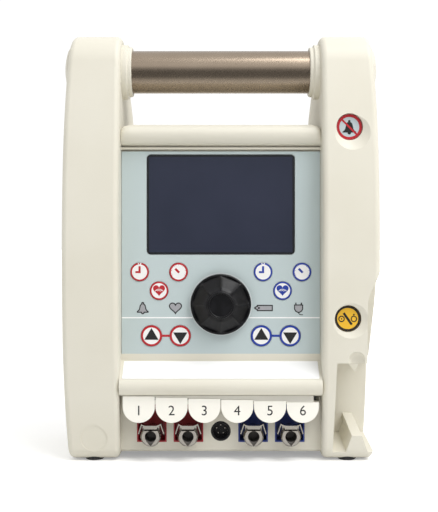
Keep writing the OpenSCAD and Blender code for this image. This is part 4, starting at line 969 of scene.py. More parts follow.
def heart_outline(width, height, steps=16):
    """A heart about the middle of its own box, as (x, z) points."""
    made = []
    for i in range(4 * steps):
        t = 2 * math.pi * i / (4 * steps)
        x = 16 * math.sin(t) ** 3
        z = 13 * math.cos(t) - 5 * math.cos(2 * t) - 2 * math.cos(3 * t) - math.cos(4 * t)
        made.append((x * width / 32, (z + 2.55) * height / 29))
    return made


def bell_outline(width, height):
    """A bell with a knob on top, as (x, z) points about the middle of its box."""
    half = [(0.00, 0.50), (0.07, 0.48), (0.09, 0.42), (0.07, 0.37), (0.16, 0.32), (0.23, 0.22),
            (0.26, 0.08), (0.30, -0.10), (0.38, -0.22), (0.50, -0.30), (0.50, -0.36), (0.14, -0.36),
            (0.10, -0.46), (0.0, -0.50)]
    right = [(x * width, z * height) for x, z in half]
    return right + [(-x, z) for x, z in right[-2:0:-1]]


# Columns


def arc(centre, radius, start, end, steps):
    made = []
    for i in range(steps + 1):
        a = math.radians(start + (end - start) * i / steps)
        made.append((centre[0] + radius * math.cos(a), centre[1] + radius * math.sin(a)))
    return made


def angle_of(v):
    return math.degrees(math.atan2(v[1], v[0]))


BOW_C = Vector((deep(BOW_R), BOW_Z))
CROWN_C = Vector((deep(HANDLE_D), HANDLE_Z))
CROWN_R = BOW_R - (CROWN_C - BOW_C).length
TOE_Z = BASE_Z + TOE_R
TOE_C = Vector((BOW_C.x - math.sqrt((BOW_R - TOE_R) ** 2 - (BOW_Z - TOE_Z) ** 2), TOE_Z))
HEEL_C = Vector((deep(COLUMN_D) - TOE_R, TOE_Z))
SHOULDER_C = Vector((deep(COLUMN_D) - SHOULDER_R, SHOULDER_Z))
CROWN_A = angle_of(CROWN_C - BOW_C)
TOE_A = 360 + angle_of(TOE_C - BOW_C)
BACK_LINE = SHOULDER_C - CROWN_C
BACK_A = angle_of(BACK_LINE) + math.degrees(math.acos((CROWN_R - SHOULDER_R) / BACK_LINE.length))
if CROWN_A < 0:
    CROWN_A += 360
LONG_STEPS = 30


def column_outline(inset):
    """The side view of a column, drawn in by an inset, as (y, z) points."""
    back = deep(COLUMN_D) - inset
    rise = TOE_Z - SHOULDER_Z
    return (arc(TOE_C, TOE_R - inset, 270, TOE_A, 8)
            + arc(BOW_C, BOW_R - inset, TOE_A, CROWN_A, LONG_STEPS)[1:-1]
            + arc(CROWN_C, CROWN_R - inset, CROWN_A, BACK_A, 28)
            + arc(SHOULDER_C, SHOULDER_R - inset, BACK_A, 0, 12)
            + [(back, SHOULDER_Z + rise * i / LONG_STEPS) for i in range(1, LONG_STEPS)]
            + arc(HEEL_C, TOE_R - inset, 0, -90, 8))


def bow_y(z):
    return BOW_C.x - math.sqrt(BOW_R ** 2 - (z - BOW_Z) ** 2)


def outer_x(z):
    return COLUMN_W - END_DRAW * (abs(z - WIDEST_Z) / WIDEST_Z) ** 3


def close_bowed(bm, ring):
    """Closes a bowed ring with strips from its front line to its back line."""
    i, j = 0, len(ring) - 1
    while j - i > 1:
        if ring[i + 1].co.z < ring[j - 1].co.z:
            bm.faces.new([ring[i], ring[i + 1], ring[j]])
            i += 1
        else:
            bm.faces.new([ring[i], ring[j - 1], ring[j]])
            j -= 1


def column_form(edge_steps=6):
    """The closed form of the right column, whose outer face is slightly bowed."""
    bm = bmesh.new()
    rings = []
    for side in (0, 1):
        for s in (range(edge_steps, -1, -1) if side == 0 else range(edge_steps + 1)):
            turn = math.radians(90 * s / edge_steps)
            inset, away = EDGE_R * (1 - math.cos(turn)), EDGE_R * (1 - math.sin(turn))
            points = column_outline(inset)
            if side == 0:
                rings.append([bm.verts.new((SIDE_X + away, y, z)) for y, z in points])
            else:
                rings.append([bm.verts.new((outer_x(z) - away, y, z)) for y, z in points])
    n = len(rings[0])
    for low, high in zip(rings, rings[1:]):
        for i in range(n):
            j = (i + 1) % n
            bm.faces.new([low[i], low[j], high[j], high[i]])
    bm.faces.new(rings[0])
    close_bowed(bm, rings[-1])
    bmesh.ops.recalc_face_normals(bm, faces=bm.faces)
    return bm


FOOT_X = 96.0
FOOT_YS = (deep(22), deep(COLUMN_D - 18))
FOOT_TOP = 3.2
CAP_X = outer_x(HANDLE_Z) - 3
TUBE_SEAT_R = 16.5
SCREW_YS = (deep(45), deep(105))
SCREW_ZS = (60, 225)
SCREW_HOLE_R = 2.0
WINDOW_YS = (deep(50), deep(100))
WINDOW_ZS = (100, 210)


def span(pair):
    return pair[1] - pair[0]


def middle_of(pair):
    return sum(pair) / 2


def handle_boss():
    return rod(21.1, "X", HANDLE, SIDE_X - 1, COLUMN_W + 1, 72)


def foot_boss(y):
    return rod(10, "Z", (FOOT_X, y, 0), -1, FOOT_TOP + WALL)


def column_cutters():
    """The bores, seats and windows that both columns have."""
    made = [rod(TUBE_SEAT_R, "X", HANDLE, SIDE_X - 1, COLUMN_W + 1, 72),
            rod(CAP_R + 0.1, "X", HANDLE, CAP_X, COLUMN_W + 1, 72)]
    feet = bmesh.new()
    for y in FOOT_YS:
        rod(7.1, "Z", (FOOT_X, y, 0), -1, FOOT_TOP, bm=feet)
    screws = bmesh.new()
    for y in SCREW_YS:
        for z in SCREW_ZS:
            rod(SCREW_HOLE_R, "X", (0, y, z), SIDE_X - 1, 85, 24, bm=screws)
    window = box((SIDE_X - 1, WINDOW_YS[0], WINDOW_ZS[0]), (SIDE_X + 4, WINDOW_YS[1], WINDOW_ZS[1]))
    return made + [feet, screws, window]


def cavity(core_boxes, keep):
    """The hollow inside a column, cut to boxes where there are any, less the bosses kept solid."""
    made = as_object("hollow", prism(column_outline(WALL), "X", SIDE_X + WALL, outer_x(0) - WALL))
    if core_boxes:
        core = as_object("core", core_boxes[0])
        for extra in core_boxes[1:]:
            carved(core, extra, operation="UNION")
        cut_by(made, core, operation="INTERSECT")
    return carved(made, *keep)


def turned_over(thing):
    """Mirrors a piece to the other side of the object."""
    bm = bmesh.new()
    bm.from_mesh(thing.data)
    bmesh.ops.scale(bm, vec=(-1, 1, 1), verts=bm.verts)
    bmesh.ops.reverse_faces(bm, faces=bm.faces)
    bm.to_mesh(thing.data)
    bm.free()


BADGE_X = 95.2
BADGE_Z = 17.7


def badge_seat():
    """A shallow round seat, sunk square to the slope of the column's front."""
    bm = rod(10, "Y", (0, 0, 0), -1, 0.5, 72)
    lean = math.asin((BOW_Z - BADGE_Z) / BOW_R)
    bmesh.ops.rotate(bm, matrix=Matrix.Rotation(lean, 3, "X"), verts=bm.verts)
    bmesh.ops.translate(bm, vec=(BADGE_X, bow_y(BADGE_Z), BADGE_Z), verts=bm.verts)
    return bm


def left_column():
    made = as_object("left_column_shell", column_form(), "cream_shell")
    cut_by(made, cavity([], [handle_boss()] + [foot_boss(y) for y in FOOT_YS]))
    carved(made, *column_cutters(), badge_seat())
    turned_over(made)
    softened(made, 0.5, 2)
    return fitted(made, "frame", "cream_shell", "left_column")


POCKET_D = 66.0
POCKET_TOP = 74.7
POCKET_FLOOR = 5.8
POCKET_RISE = 5.8
RECESS_X = 109.0
RECESS_LOW = 118
RECESS_TOP = 150
HOOK_X = 102.2
HOOK_Z = 19.6
HOOK_RISE = 7.8
HOOK_TOP = 3.8
HOOK_FOOT = 8.5
GUSSET_DROP = 8.2


def hook_form():
    """The hook that stands on the pocket floor, wider at its foot and higher at the back."""
    top, back_top, back = HOOK_Z, HOOK_Z + HOOK_RISE, deep(POCKET_D + 1)
    half = [(HOOK_FOOT, 0), (HOOK_FOOT, POCKET_FLOOR), (HOOK_TOP, top), (HOOK_TOP, back_top)]
    outline = [(HOOK_X - x, z) for x, z in half] + [(HOOK_X + x, z) for x, z in half[::-1]]
    made = as_object("hook", prism(outline, "Y", deep(-2), back))
    side = [(deep(-3), -1), (deep(-3), top), (deep(TOE_R), top), (back + 1, back_top), (back + 1, -1)]
    return carved(made, prism(side, "X", SIDE_X, COLUMN_W + 4), operation="INTERSECT")


def gusset_form():
    """The small gusset under the pocket ceiling, its front face leaning back."""
    left, roof, tip = HOOK_X - 7, POCKET_TOP + 1, POCKET_TOP - GUSSET_DROP
    outline = [(left, roof), (left, POCKET_TOP), (left + 6.4, tip), (left + 8, POCKET_TOP), (left + 8, roof)]
    made = as_object("gusset", prism(outline, "Y", deep(7), deep(19)))
    lean = [(deep(8), roof + 1), (deep(8), POCKET_TOP - 1), (deep(18), tip - 1), (deep(18), roof + 1)]
    return carved(made, prism(lean, "X", SIDE_X, COLUMN_W), operation="INTERSECT")


def pocket_tool():
    """What is cut out of the right column for hoses, around the hook and the small gusset."""
    curve = []
    for i in range(17):
        t = i / 16
        wide = (outer_x(RECESS_TOP) + 1 - RECESS_X) * (1 - math.cos(math.pi * t)) / 2
        curve.append((RECESS_X + wide, RECESS_LOW + (RECESS_TOP - RECESS_LOW) * t))
    low, over = POCKET_FLOOR - 1, RECESS_TOP + 1
    front = ([(83.9, low), (86.6, POCKET_TOP), (RECESS_X, POCKET_TOP)] + curve
             + [(COLUMN_W + 2, RECESS_TOP), (COLUMN_W + 2, low)])
    side = [(deep(-1), POCKET_FLOOR), (deep(POCKET_D), POCKET_FLOOR + POCKET_RISE),
            (deep(POCKET_D), POCKET_TOP), (deep(57), POCKET_TOP), (deep(30), RECESS_LOW),
            (deep(15), over), (deep(-1), over)]
    made = as_object("pocket", prism(front, "Y", deep(-1), deep(POCKET_D + 1)))
    carved(made, prism(side, "X", SIDE_X, COLUMN_W + 3), operation="INTERSECT")
    cut_by(made, hook_form())
    cut_by(made, gusset_form())
    return made


def ball_tool(x, y, z, rim, depth, steps=72):
    """A ball that cuts a dish of a given rim radius and depth into a face at y."""
    radius = (rim * rim + depth * depth) / (2 * depth)
    bm = bmesh.new()
    bmesh.ops.create_uvsphere(bm, u_segments=steps, v_segments=steps // 2, radius=radius)
    bmesh.ops.rotate(bm, matrix=Matrix.Rotation(math.radians(90), 3, "X"), verts=bm.verts)
    bmesh.ops.translate(bm, vec=(x, y + depth - radius, z), verts=bm.verts)
    return bm


SIDE_BUTTONS = {"alarm_silence_button": (96.4, 251.3), "standby_button": (94.6, 108.0)}
BUTTON_SINK = 4
DISH_R = 13.3
DISH_DROP = 2.4
OVER_TOP = 330


def right_column():
    made = as_object("right_column_shell", column_form(), "cream_shell")
    back = deep(COLUMN_D)
    cores = [box((SIDE_X, FRONT_Y, 86.3), (RECESS_X - WALL, back, OVER_TOP)),
             box((SIDE_X, FRONT_Y, RECESS_TOP + WALL), (outer_x(0) - WALL, back, OVER_TOP)),
             box((SIDE_X, deep(POCKET_D + WALL), 0), (RECESS_X - WALL, back, OVER_TOP))]
    bosses = [handle_boss(), foot_boss(FOOT_YS[1])]
    dishes = []
    for x, z in SIDE_BUTTONS.values():
        face = bow_y(z) + BUTTON_SINK
        bosses.append(rod(16.3, "Y", (x, 0, z), FRONT_Y - 1, face + 3, 72))
        dishes.append(ball_tool(x + 2, bow_y(z - DISH_DROP), z - DISH_DROP, DISH_R, BUTTON_SINK))
        dishes.append(rod(10.05, "Y", (x, 0, z), FRONT_Y - 1, face + 4, 72))
    cut_by(made, cavity(cores, bosses))
    cut_by(made, pocket_tool())
    scoop = ball_tool(HOOK_X - 1, bow_y(77), 77, 6.3, 4.2, 48)
    carved(made, scoop, *dishes, *column_cutters())
    softened(made, 0.6, 2)
    return fitted(made, "frame", "cream_shell", "right_column")


# Handle


CAP_R = 18.0
CAP_DISC_R = 9.5


def handle_tube():
    half, inner, outer, chamfer = CAP_X - 0.1, 13.8, 16.4, 0.3
    profile = [(inner, -half), (outer - chamfer, -half), (outer, chamfer - half), (outer, half - chamfer),
               (outer - chamfer, half), (inner, half)]
    tube = lathe(profile, "X", HANDLE, 128, closed=True)
    made = as_object("handle_tube_finished", tube, "bronze_aluminium")
    fitted(shaded(made), "frame", "bronze_aluminium", "handle_tube")


def handle_collars():
    """A flange and a smaller raised ring on each column, both with round edges."""
    corners_out = [(21, 0), (21, 4.3), (19.2, 4.3), (19.2, 7.6), (TUBE_SEAT_R, 7.6)]
    step_out = [(TUBE_SEAT_R, 0)] + rounded(corners_out, 1.5, 6)
    bm = bmesh.new()
    for side in (1, -1):
        profile = [(radius, side * (SIDE_X - height)) for radius, height in step_out]
        lathe(profile, "X", HANDLE, 128, closed=True, bm=bm)
    made = as_object("handle_collars_finished", bm, "cream_shell")
    fitted(shaded(made, 50), "frame", "cream_shell", "handle_collars")


def handle_end_caps():
    """A domed cap with a pale rim round a bronze disc, and a plug that fits into the tube."""
    dome, rim = 3.5, 4.5
    ball = (CAP_R * CAP_R + dome * dome) / (2 * dome)
    lean = math.asin(CAP_R / ball)
    cap = [(0, -10), (13.2, -10), (13.7, -9.5), (13.7, 0), (CAP_R - 0.2, 0), (CAP_R, 0.2), (CAP_R, rim - 0.3)]
    for i in range(1, 15):
        a = lean * (1 - i / 14) * 0.985
        cap.append((ball * math.sin(a), rim + dome - ball * (1 - math.cos(a))))
    bm = bmesh.new()
    for side in (1, -1):
        lathe([(radius, side * (CAP_X + along)) for radius, along in cap], "X", HANDLE, 96, bm=bm)
    made = as_object("handle_end_caps_finished", bm, "bronze_aluminium", "cream_shell")
    for face in made.data.polygons:
        centre = face.center / MM
        away = math.hypot(centre.y - HANDLE_Y, centre.z - HANDLE_Z)
        face.material_index = int(away > CAP_DISC_R and abs(centre.x) > CAP_X)
    fitted(shaded(made), "frame", "bronze_aluminium", "handle_end_caps")


# Housings


BROW_END = 8.0
BROW_DROP = 4.6
BROW_FOOT = 239.2
BROW_BACK = deep(21)
BROW_REACH = 7.6


def round_brow_ends(bm):
    """Lets the top of the front housing fall away at both ends, as on a pillow."""
    steps = [BROW_END * (1 - math.cos(math.radians(90 * i / 7))) for i in range(1, 8)]
    for side in (1, -1):
        for away in steps:
            whole = bm.verts[:] + bm.edges[:] + bm.faces[:]
            bmesh.ops.bisect_plane(bm, geom=whole, plane_co=(side * (SIDE_X - away), 0, 0),
                                   plane_no=(side, 0, 0), dist=1e-5)
    for vert in bm.verts:
        away = SIDE_X - abs(vert.co.x)
        if away < BROW_END and vert.co.z > 240:
            fall = BROW_DROP * (1 - math.sqrt(max(0, 1 - ((BROW_END - away) / BROW_END) ** 2)))
            share = (vert.co.z - BROW_FOOT) / (TOP_Z - BROW_FOOT)
            vert.co.z -= fall * share
            if vert.co.y < BROW_BACK:
                vert.co.y += fall * 0.5 * (BROW_BACK - vert.co.y) / BROW_REACH


def brow_grooves():
    """The dark groove under the brow, and the gap between the sill and the panel film."""
    return [box((-SIDE_X - 1, deep(19), 237.2), (SIDE_X + 1, deep(24.3), 238.7)),
            box((-PANEL_HALF, deep(19), 234.3), (PANEL_HALF, deep(25.3), 235.6))]


def cut_slots(thing, outline, x, z, **spread):
    """Cuts a pattern of equal slots through the back wall about a place."""
    slots = grown("slots", trees["rows"], prism(outline, "Z", -3, 3), **spread)
    cut_by(thing, moved(slots, mm_place(x, deep(122.5), z) @ FORWARD))


def rear_cutters():
    """The hollow of the rear housing, its holes, screw seats and side windows."""
    through = (deep(120), deep(125))
    hollow = [(deep(59), 4.6), (deep(59), TOP_Z - WALL)] + arc(REAR_CORNER, 9, 90, 0, 14) + [(deep(121), 4.6)]
    made = [prism(hollow, "X", WALL - SIDE_X, SIDE_X - WALL), box((-58.5, through[0], 64), (-31.5, through[1], 84))]
    made += [rod(2.6, "Y", (x, 0, z), *through, 24) for x, z in CLAMP_BOLTS]
    for x in (-SEAT_X, SEAT_X):
        for z in SEAT_ZS:
            made.append(rod(SCREW_HOLE_R, "Y", (x, 0, z), *through, 24))
            made.append(rod(3.7, "Y", (x, 0, z), SEAT_Y, through[1], 32))
    for side in (1, -1):
        low, high = sorted((side * 72, side * 77))
        made.append(box((low, deep(59), WINDOW_ZS[0]), (high, WINDOW_YS[1], WINDOW_ZS[1])))
        for z in SCREW_ZS:
            made.append(rod(SCREW_HOLE_R, "X", (0, SCREW_YS[1], z), low, high, 24))
    return made


def rear_housing():
    """A cover with slots for the speaker and for air, a power inlet hole and screw seats."""
    outer = [(deep(60), 5.6), (deep(60), TOP_Z)] + arc(REAR_CORNER, 12, 90, 0, 14) + [(deep(REAR_D), 5.6)]
    made = as_object("rear_housing_finished", prism(outer, "X", -SIDE_X, SIDE_X), "cream_shell")
    softened(made, 0.6, 2)
    carved(made, *rear_cutters())
    cut_slots(made, round_rect(3, 22, 1.45), 0, 96, columns=9, rows=1, column_pitch=8 * MM)
    cut_slots(made, round_rect(24, 2.5, 1.2), 38, 212, columns=1, rows=5, row_pitch=6 * MM)
    softened(made, 0)
    fitted(made, "frame", "cream_shell", "rear_housing")


# Turns that take +Z to the front, the right and the left of the object
FORWARD = Matrix.Rotation(math.radians(90), 4, "X")
RIGHTWARD = Matrix.Rotation(math.radians(90), 4, "Y")
LEFTWARD = Matrix.Rotation(math.radians(-90), 4, "Y")
SEAT_X = 66
SEAT_Y = deep(121.8)
SEAT_ZS = (74, 213)
REAR_CORNER = (deep(112), 242.4)


SCREW_PITCH = 0.7


def one_screw(length):
    """A cap screw along +Z with a hexagon socket and a real thread form, its head below the origin."""
    head = rounded([(0, -2.2), (3.6, -2.2), (3.6, 0), (1.9, 0), (1.9, 0.4)], 0.4, 3)[:-1]
    thread = []
    for i in range(int((length - 1) / SCREW_PITCH)):
        thread += [(1.9, 0.4 + SCREW_PITCH * i), (1.6, 0.75 + SCREW_PITCH * i)]
    made = as_object("screw", lathe(head + thread + [(1.5, length), (0, length)], "Z", (0, 0, 0), 32))
    carved(made, prism(circle(1.7, steps=6), "Z", -3, -1.0))
    bm = bmesh.new()
    bm.from_mesh(made.data)
    bmesh.ops.scale(bm, vec=(1 / MM,) * 3, verts=bm.verts)
    bpy.data.objects.remove(made)
    return bm


def screw_set(length, across, up, place):
    """Two rows of two screws."""
    group = grown("screw_set", trees["rows"], one_screw(length), columns=2, rows=2, column_pitch=across * MM,
                  row_pitch=up * MM, finish=finish["bare_steel"])
    return moved(group, place)


def housing_screws():
    sets = []
    for side, way in ((1, RIGHTWARD), (-1, LEFTWARD)):
        place = mm_place(side * 71.4, middle_of(SCREW_YS), middle_of(SCREW_ZS)) @ way
        sets.append(screw_set(12, span(SCREW_ZS), span(SCREW_YS), place))
    sets.append(screw_set(8, 2 * SEAT_X, span(SEAT_ZS), mm_place(0, SEAT_Y, middle_of(SEAT_ZS)) @ FORWARD))
    made = joined("housing_screws_finished", *sets)
    fitted(shaded(made), "frame", "bare_steel", "housing_screws")


def rubber_feet():
    profile = [(0, 0.4), (3.6, 0.4), (4.0, 0), (6.3, 0), (7, 0.7), (7, FOOT_TOP), (0, FOOT_TOP)]
    group = grown("rubber_feet_finished", trees["rows"], lathe(profile, "Z", (0, 0, 0), 64), columns=2,
                  rows=2, column_pitch=2 * FOOT_X * MM, row_pitch=span(FOOT_YS) * MM,
                  finish=finish["black_rubber"])
    moved(group, mm_place(0, middle_of(FOOT_YS), 0))
    fitted(shaded(group), "frame", "black_rubber", "rubber_feet")


# Control panel, lens and label


KEY_PLACES = {
    "left_time_key": (-61.95, 142.2), "left_pressure_key": (-32.25, 142.2), "left_pulse_key": (-47.1, 127.9),
    "left_inflate_key": (-52.9, 93.5), "left_deflate_key": (-30.9, 93.5),
    "right_time_key": (32.25, 142.2), "right_pressure_key": (61.95, 142.2), "right_pulse_key": (47.1, 127.9),
    "right_inflate_key": (30.9, 93.5), "right_deflate_key": (52.9, 93.5)}
PANEL_Y = deep(PANEL_D)
PANEL_HALF = 75.7
PANEL_ZS = (79.8, 234.2)
KEY_FACE = deep(21.4)


def key_radius(name):
    return 8.0 if "flate" in name else 7.0


def key_colour(name):
    return "red_key" if name.startswith("left") else "blue_key"


def control_panel():
    sheet = box((-PANEL_HALF, PANEL_Y, PANEL_ZS[0]), (PANEL_HALF, deep(23.5), PANEL_ZS[1]))
    made = as_object("control_panel_finished", sheet, "panel_film")
    through = (deep(21), deep(25))
    cutters = [prism(round_rect(113.4, 76.7, 3.3, (0, LENS_Z)), "Y", *through),
               rod(4.6, "Y", (0, 0, KNOB_Z), *through)]
    for name, (x, z) in KEY_PLACES.items():
        cutters.append(rod(key_radius(name) + 0.3, "Y", (x, 0, z), *through, 72))
    carved(made, *cutters)
    softened(made, 0)
    fitted(made, "frame", "panel_film", "control_panel")


BATTERY = [(6.6, 2.0), (-4.8, 2.0), (-4.8, 1.2), (-6.6, 0.5), (-6.6, -0.5), (-4.8, -1.2), (-4.8, -2.0),
           (6.6, -2.0)]
PLUG = [(-3.1, 2.6), (3.1, 2.6), (3.1, -0.4), (2.3, -2.0), (0.6, -3.0), (-0.6, -3.0), (-2.3, -2.0),
        (-3.1, -0.4)]
PLUG_TAIL = [(0, -3.0), (0.2, -4.0), (1.0, -4.7), (2.2, -4.9), (3.2, -4.8)]


def symbol(marks, place, outline, width=0.8):
    """A grey shape with a black line around it."""
    marks.centre = place
    marks.fill("grey_print", outline)
    marks.line("black_print", outline, width, closed=True, lift=1)


def panel_marks():
    """The rule across the panel, the links between the arrow keys, the halo and the four symbols."""
    marks = Print(PANEL_Y)
    marks.line("white_film", [(-75.6, 107.3), (75.6, 107.3)], 0.9)
    marks.line("red_key", [(-44.8, 93.5), (-39.0, 93.5)], 1.7)
    marks.line("blue_key", [(39.0, 93.5), (44.8, 93.5)], 1.7)
    marks.centre = (0, KNOB_Z)
    marks.ring("pale_print", 22.4, 24.0, lift=1)
    symbol(marks, (-59.6, 114.6), bell_outline(8.2, 8.6))
    symbol(marks, (-34.6, 114.4), heart_outline(9.2, 8.2))
    symbol(marks, (32.7, 114.7), BATTERY, 0.85)
    marks.dot("black_print", -3.6, 0, 0.75, lift=1)
    symbol(marks, (59.4, 114.4), PLUG)
    for x in (-1.9, 1.9):
        marks.line("black_print", [(x, 2.6), (x * 1.15, 4.4)], 0.9, lift=1)
    marks.line("black_print", PLUG_TAIL, 0.6, lift=1)
    made = marks.done("panel_marks")
    fitted(shaded(made), "frame", "panel_film")


def display_lens():
    outline = round_rect(112.8, 76.1, 3.0, (0, LENS_Z), 10)
    made = as_object("display_lens_finished", prism(outline, "Y", deep(22.3), deep(23.5)), "dark_glass")
    softened(made, 0.3, 3)
    fitted(made, "frame", "dark_glass", "display_lens")


def label_strip():
    """A bare white film on the slope between the chin and the panel."""
    rise = math.radians(128)
    start = Vector((deep(10.5), 56.8)) + 7 * Vector((math.cos(rise), math.sin(rise)))
    bm = prism(round_rect(147.6, 18.4, 0.9, (0, 9.7)), "Z", 0.0, 0.5)
    made = as_object("label_strip_finished", bm, "white_film")
    softened(made, 0.15, 2)
    moved(made, mm_place(0, start.x, start.y) @ Matrix.Rotation(LABEL_SLOPE, 4, "X"))
    fitted(made, "frame", "white_film", "label_strip")


# Keys


def key_cap(name):
    """A round key with a coloured rim, its stem and its snap edge."""
    x, z = KEY_PLACES[name]
    radius = key_radius(name)
    ring = radius - (1.6 if radius > 7.5 else 1.25)
    front, back = KEY_FACE, deep(22.8)
    profile = [(0, front), (ring, front), (radius - 0.35, front), (radius - 0.1, front + 0.1),
               (radius, front + 0.35), (radius, back), (4.5, back), (4.5, deep(26.6)), (5.4, deep(26.6)),
               (5.4, deep(27.4)), (5.1, deep(27.6)), (0, deep(27.6))]
    made = as_object(name + "_cap", lathe(profile, "Y", (x, 0, z), 96), "key_white", key_colour(name))
    gap = 11 if "time" in name else 0
    for face in made.data.polygons:
        centre = face.center / MM
        away = math.hypot(centre.x - x, centre.z - z)
        off_top = abs(math.degrees(math.atan2(centre.x - x, centre.z - z)))
        face.material_index = int(away > ring and centre.y < deep(22) and off_top > gap)
    return made


def clock_marks(marks, colour):
    marks.fill(colour, [(-0.8, 4.4), (0.8, 4.4), (0.8, -0.85), (-3.2, -0.85), (-3.2, 0.65), (-0.8, 0.65)])
    marks.fill(colour, [(-0.5, 6.0), (0.5, 6.0), (0.5, 6.9), (-0.5, 6.9)])


def gauge_marks(marks, colour):
    """Fine ticks on the upper part of a dial, and a short hand."""
    for i in range(19):
        a = math.radians(-25 + 230 * i / 18)
        inner = 5.1 if i % 3 == 0 else 5.4
        marks.line(colour, [(reach * math.cos(a), reach * math.sin(a)) for reach in (inner, 6.0)], 0.32)
    marks.line(colour, [(-2.5, 2.5), (0.5, -0.5)], 1.7)


def pulse_marks(marks, colour):
    marks.fill(colour, heart_outline(9.2, 8.4))
    wave = [(-3.0, -0.5), (-2.2, 0.5), (-1.2, 1.1), (0, 1.2), (1.2, 1.0), (2.4, 0.4), (3.0, -0.3)]
    marks.line("key_white", wave, 0.42, lift=1)
    marks.line("key_white", [(-2.2, 0.5), (-1.2, -0.1), (-0.2, 0.3), (0.8, -0.2), (2.4, 0.4)], 0.36, lift=1)


def arrow_marks(marks, up):
    points = [(-5.4, -3.0), (5.4, -3.0), (0, 6.0)] if up else [(-5.4, 2.6), (5.4, 2.6), (0, -6.2)]
    marks.fill("black_print", points)


def panel_keys():
    for name in KEY_PLACES:
        marks = Print(KEY_FACE, KEY_PLACES[name])
        colour = key_colour(name)
        if "time" in name:
            clock_marks(marks, colour)
        elif "pressure" in name:
            gauge_marks(marks, colour)
        elif "pulse" in name:
            pulse_marks(marks, colour)
        else:
            arrow_marks(marks, "inflate" in name)
        made = joined(name + "_finished", key_cap(name), marks.done("marks"))
        fitted(shaded(made), body_of(name), colour, name)


# Knob


def control_knob():
    """A turned knob with finger flutes pressed into its slope."""
    rim = [(3.05, 0), (22.3, 0), (22.8, -0.3), (23, -0.9), (23, -4.1), (22.8, -4.7), (22.3, -5.0)]
    slope = [(21.6 - 8.9 * i / 22, -5.0 - 7.5 * i / 22) for i in range(23)]
    hub = [(10.9, -12.5), (10.5, -12.6), (10.1, -13.0), (10.1, -14.8), (9.9, -15.3), (9.5, -15.5),
           (9.0, -15.5), (8.7, -15.3), (8.6, -14.8), (8.2, -14.7), (0, -14.7), (0, -11.5), (3.05, -11.5)]
    turned = lathe(rim + slope + hub, "Y", (0, 0, 0), 288, closed=True)
    made = grown("control_knob_finished", trees["flutes"], turned, flutes=8, hub_depth=1.2 * MM,
                 rim_depth=2.0 * MM, hub_radius=11.0 * MM, rim_radius=21.8 * MM,
                 finish=finish["black_plastic"])
    moved(made, mm_place(0, deep(21.5), KNOB_Z))
    fitted(shaded(made, 24), "knob", "black_plastic", "control_knob")


# Side buttons


def side_button(node, slot, rim_ink):
    """A round button with a printed rim, behind it the edge that holds it and its stem."""
    x, z = SIDE_BUTTONS[node]
    front = bow_y(z) + BUTTON_SINK
    back = front + 3.1
    profile = [(0, front), (9.3, front), (9.6, front + 0.12), (9.75, front + 0.45), (9.75, back), (10.8, back),
               (10.95, back + 0.15), (10.95, back + 1.2), (4, back + 1.2), (4, back + 5.2), (0, back + 5.2)]
    made = as_object(node + "_body", lathe(profile, "Y", (x, 0, z), 96), slot, rim_ink)
    for face in made.data.polygons:
        centre = face.center / MM
        face.material_index = int(math.hypot(centre.x - x, centre.z - z) > 9.2 and centre.y < front + 1)
    return made, Print(front, (x, z))


def silence_button():
    """A grey button with a bell crossed out in red."""
    made, marks = side_button("alarm_silence_button", "grey_button", "red_key")
    marks.ring("red_key", 7.5, 9.25)
    marks.fill("black_print", [(x, z - 0.2) for x, z in bell_outline(10.2, 11.0)])
    marks.line("red_key", [(-5.4, 5.4), (5.4, -5.4)], 1.4, lift=1)
    made = joined("alarm_silence_button_finished", made, marks.done("marks"))
    fitted(shaded(made), "silence_button", "grey_button", "alarm_silence_button")


def standby_button():
    """An amber button with two round signs on either side of a stroke."""
    made, marks = side_button("standby_button", "amber_button", "black_print")
    marks.ring("black_print", 7.9, 9.25)
    marks.line("black_print", [(-3.0, 4.1), (3.0, -4.6)], 1.75)
    for side in (-1, 1):
        marks.line("black_print", circle(2.0, (side * 4.6, -0.3), 32), 0.8, closed=True)
    marks.dot("black_print", -4.6, -0.3, 0.5)
    marks.line("black_print", [(4.6, 1.9), (4.6, 3.6)], 0.6)
    marks.line("black_print", [(3.9, 2.9), (5.3, 2.9)], 0.5, lift=1)
    made = joined("standby_button_finished", made, marks.done("marks"))
    fitted(shaded(made), "standby_button_body", "amber_button", "standby_button")


# Ports and cards


def flat_number(index):
    """A plain number as a thin closed mesh."""
    text = bpy.data.curves.new("number", "FONT")
    text.body = str(index)
    text.size = 0.0105
    text.align_x = "CENTER"
    text.align_y = "CENTER"
    text.extrude = 0.00004
    letter = bpy.data.objects.new("number", text)
    scene.collection.objects.link(letter)
    bpy.context.view_layer.update()
    graph = bpy.context.evaluated_depsgraph_get()
    mesh = bpy.data.meshes.new_from_object(letter.evaluated_get(graph), depsgraph=graph)
    bpy.data.objects.remove(letter)
    number = bpy.data.objects.new("number", mesh)
    scene.collection.objects.link(number)
    mesh.materials.clear()
    mesh.materials.append(finish["black_print"])
    bm = bmesh.new()
    bm.from_mesh(mesh)
    bmesh.ops.remove_doubles(bm, verts=bm.verts, dist=1e-6)
    turned_outwards(bm, bm.faces[:])
    bm.to_mesh(mesh)
    bm.free()
    return number


def numbered_card(index):
    """A card whose tab carries a plain number."""
    node = f"card_{index}"
    number = moved(flat_number(index), mm_place((index - 3.5) * CARD_PITCH, deep(8.4), 38.4) @ FORWARD)
    made = joined(node + "_finished", polished(node, "card_plastic", 0.14), number)
    fitted(shaded(made), body_of(node), "card_plastic", node)


def near(points, radius, low=-1000, high=1000):
    """A test for face centres near lines along Y through points, between two depths."""
    def test(p):
        return low < p.y < high and any(math.hypot(p.x - x, p.z - z) < radius for x, z in points)
    return test


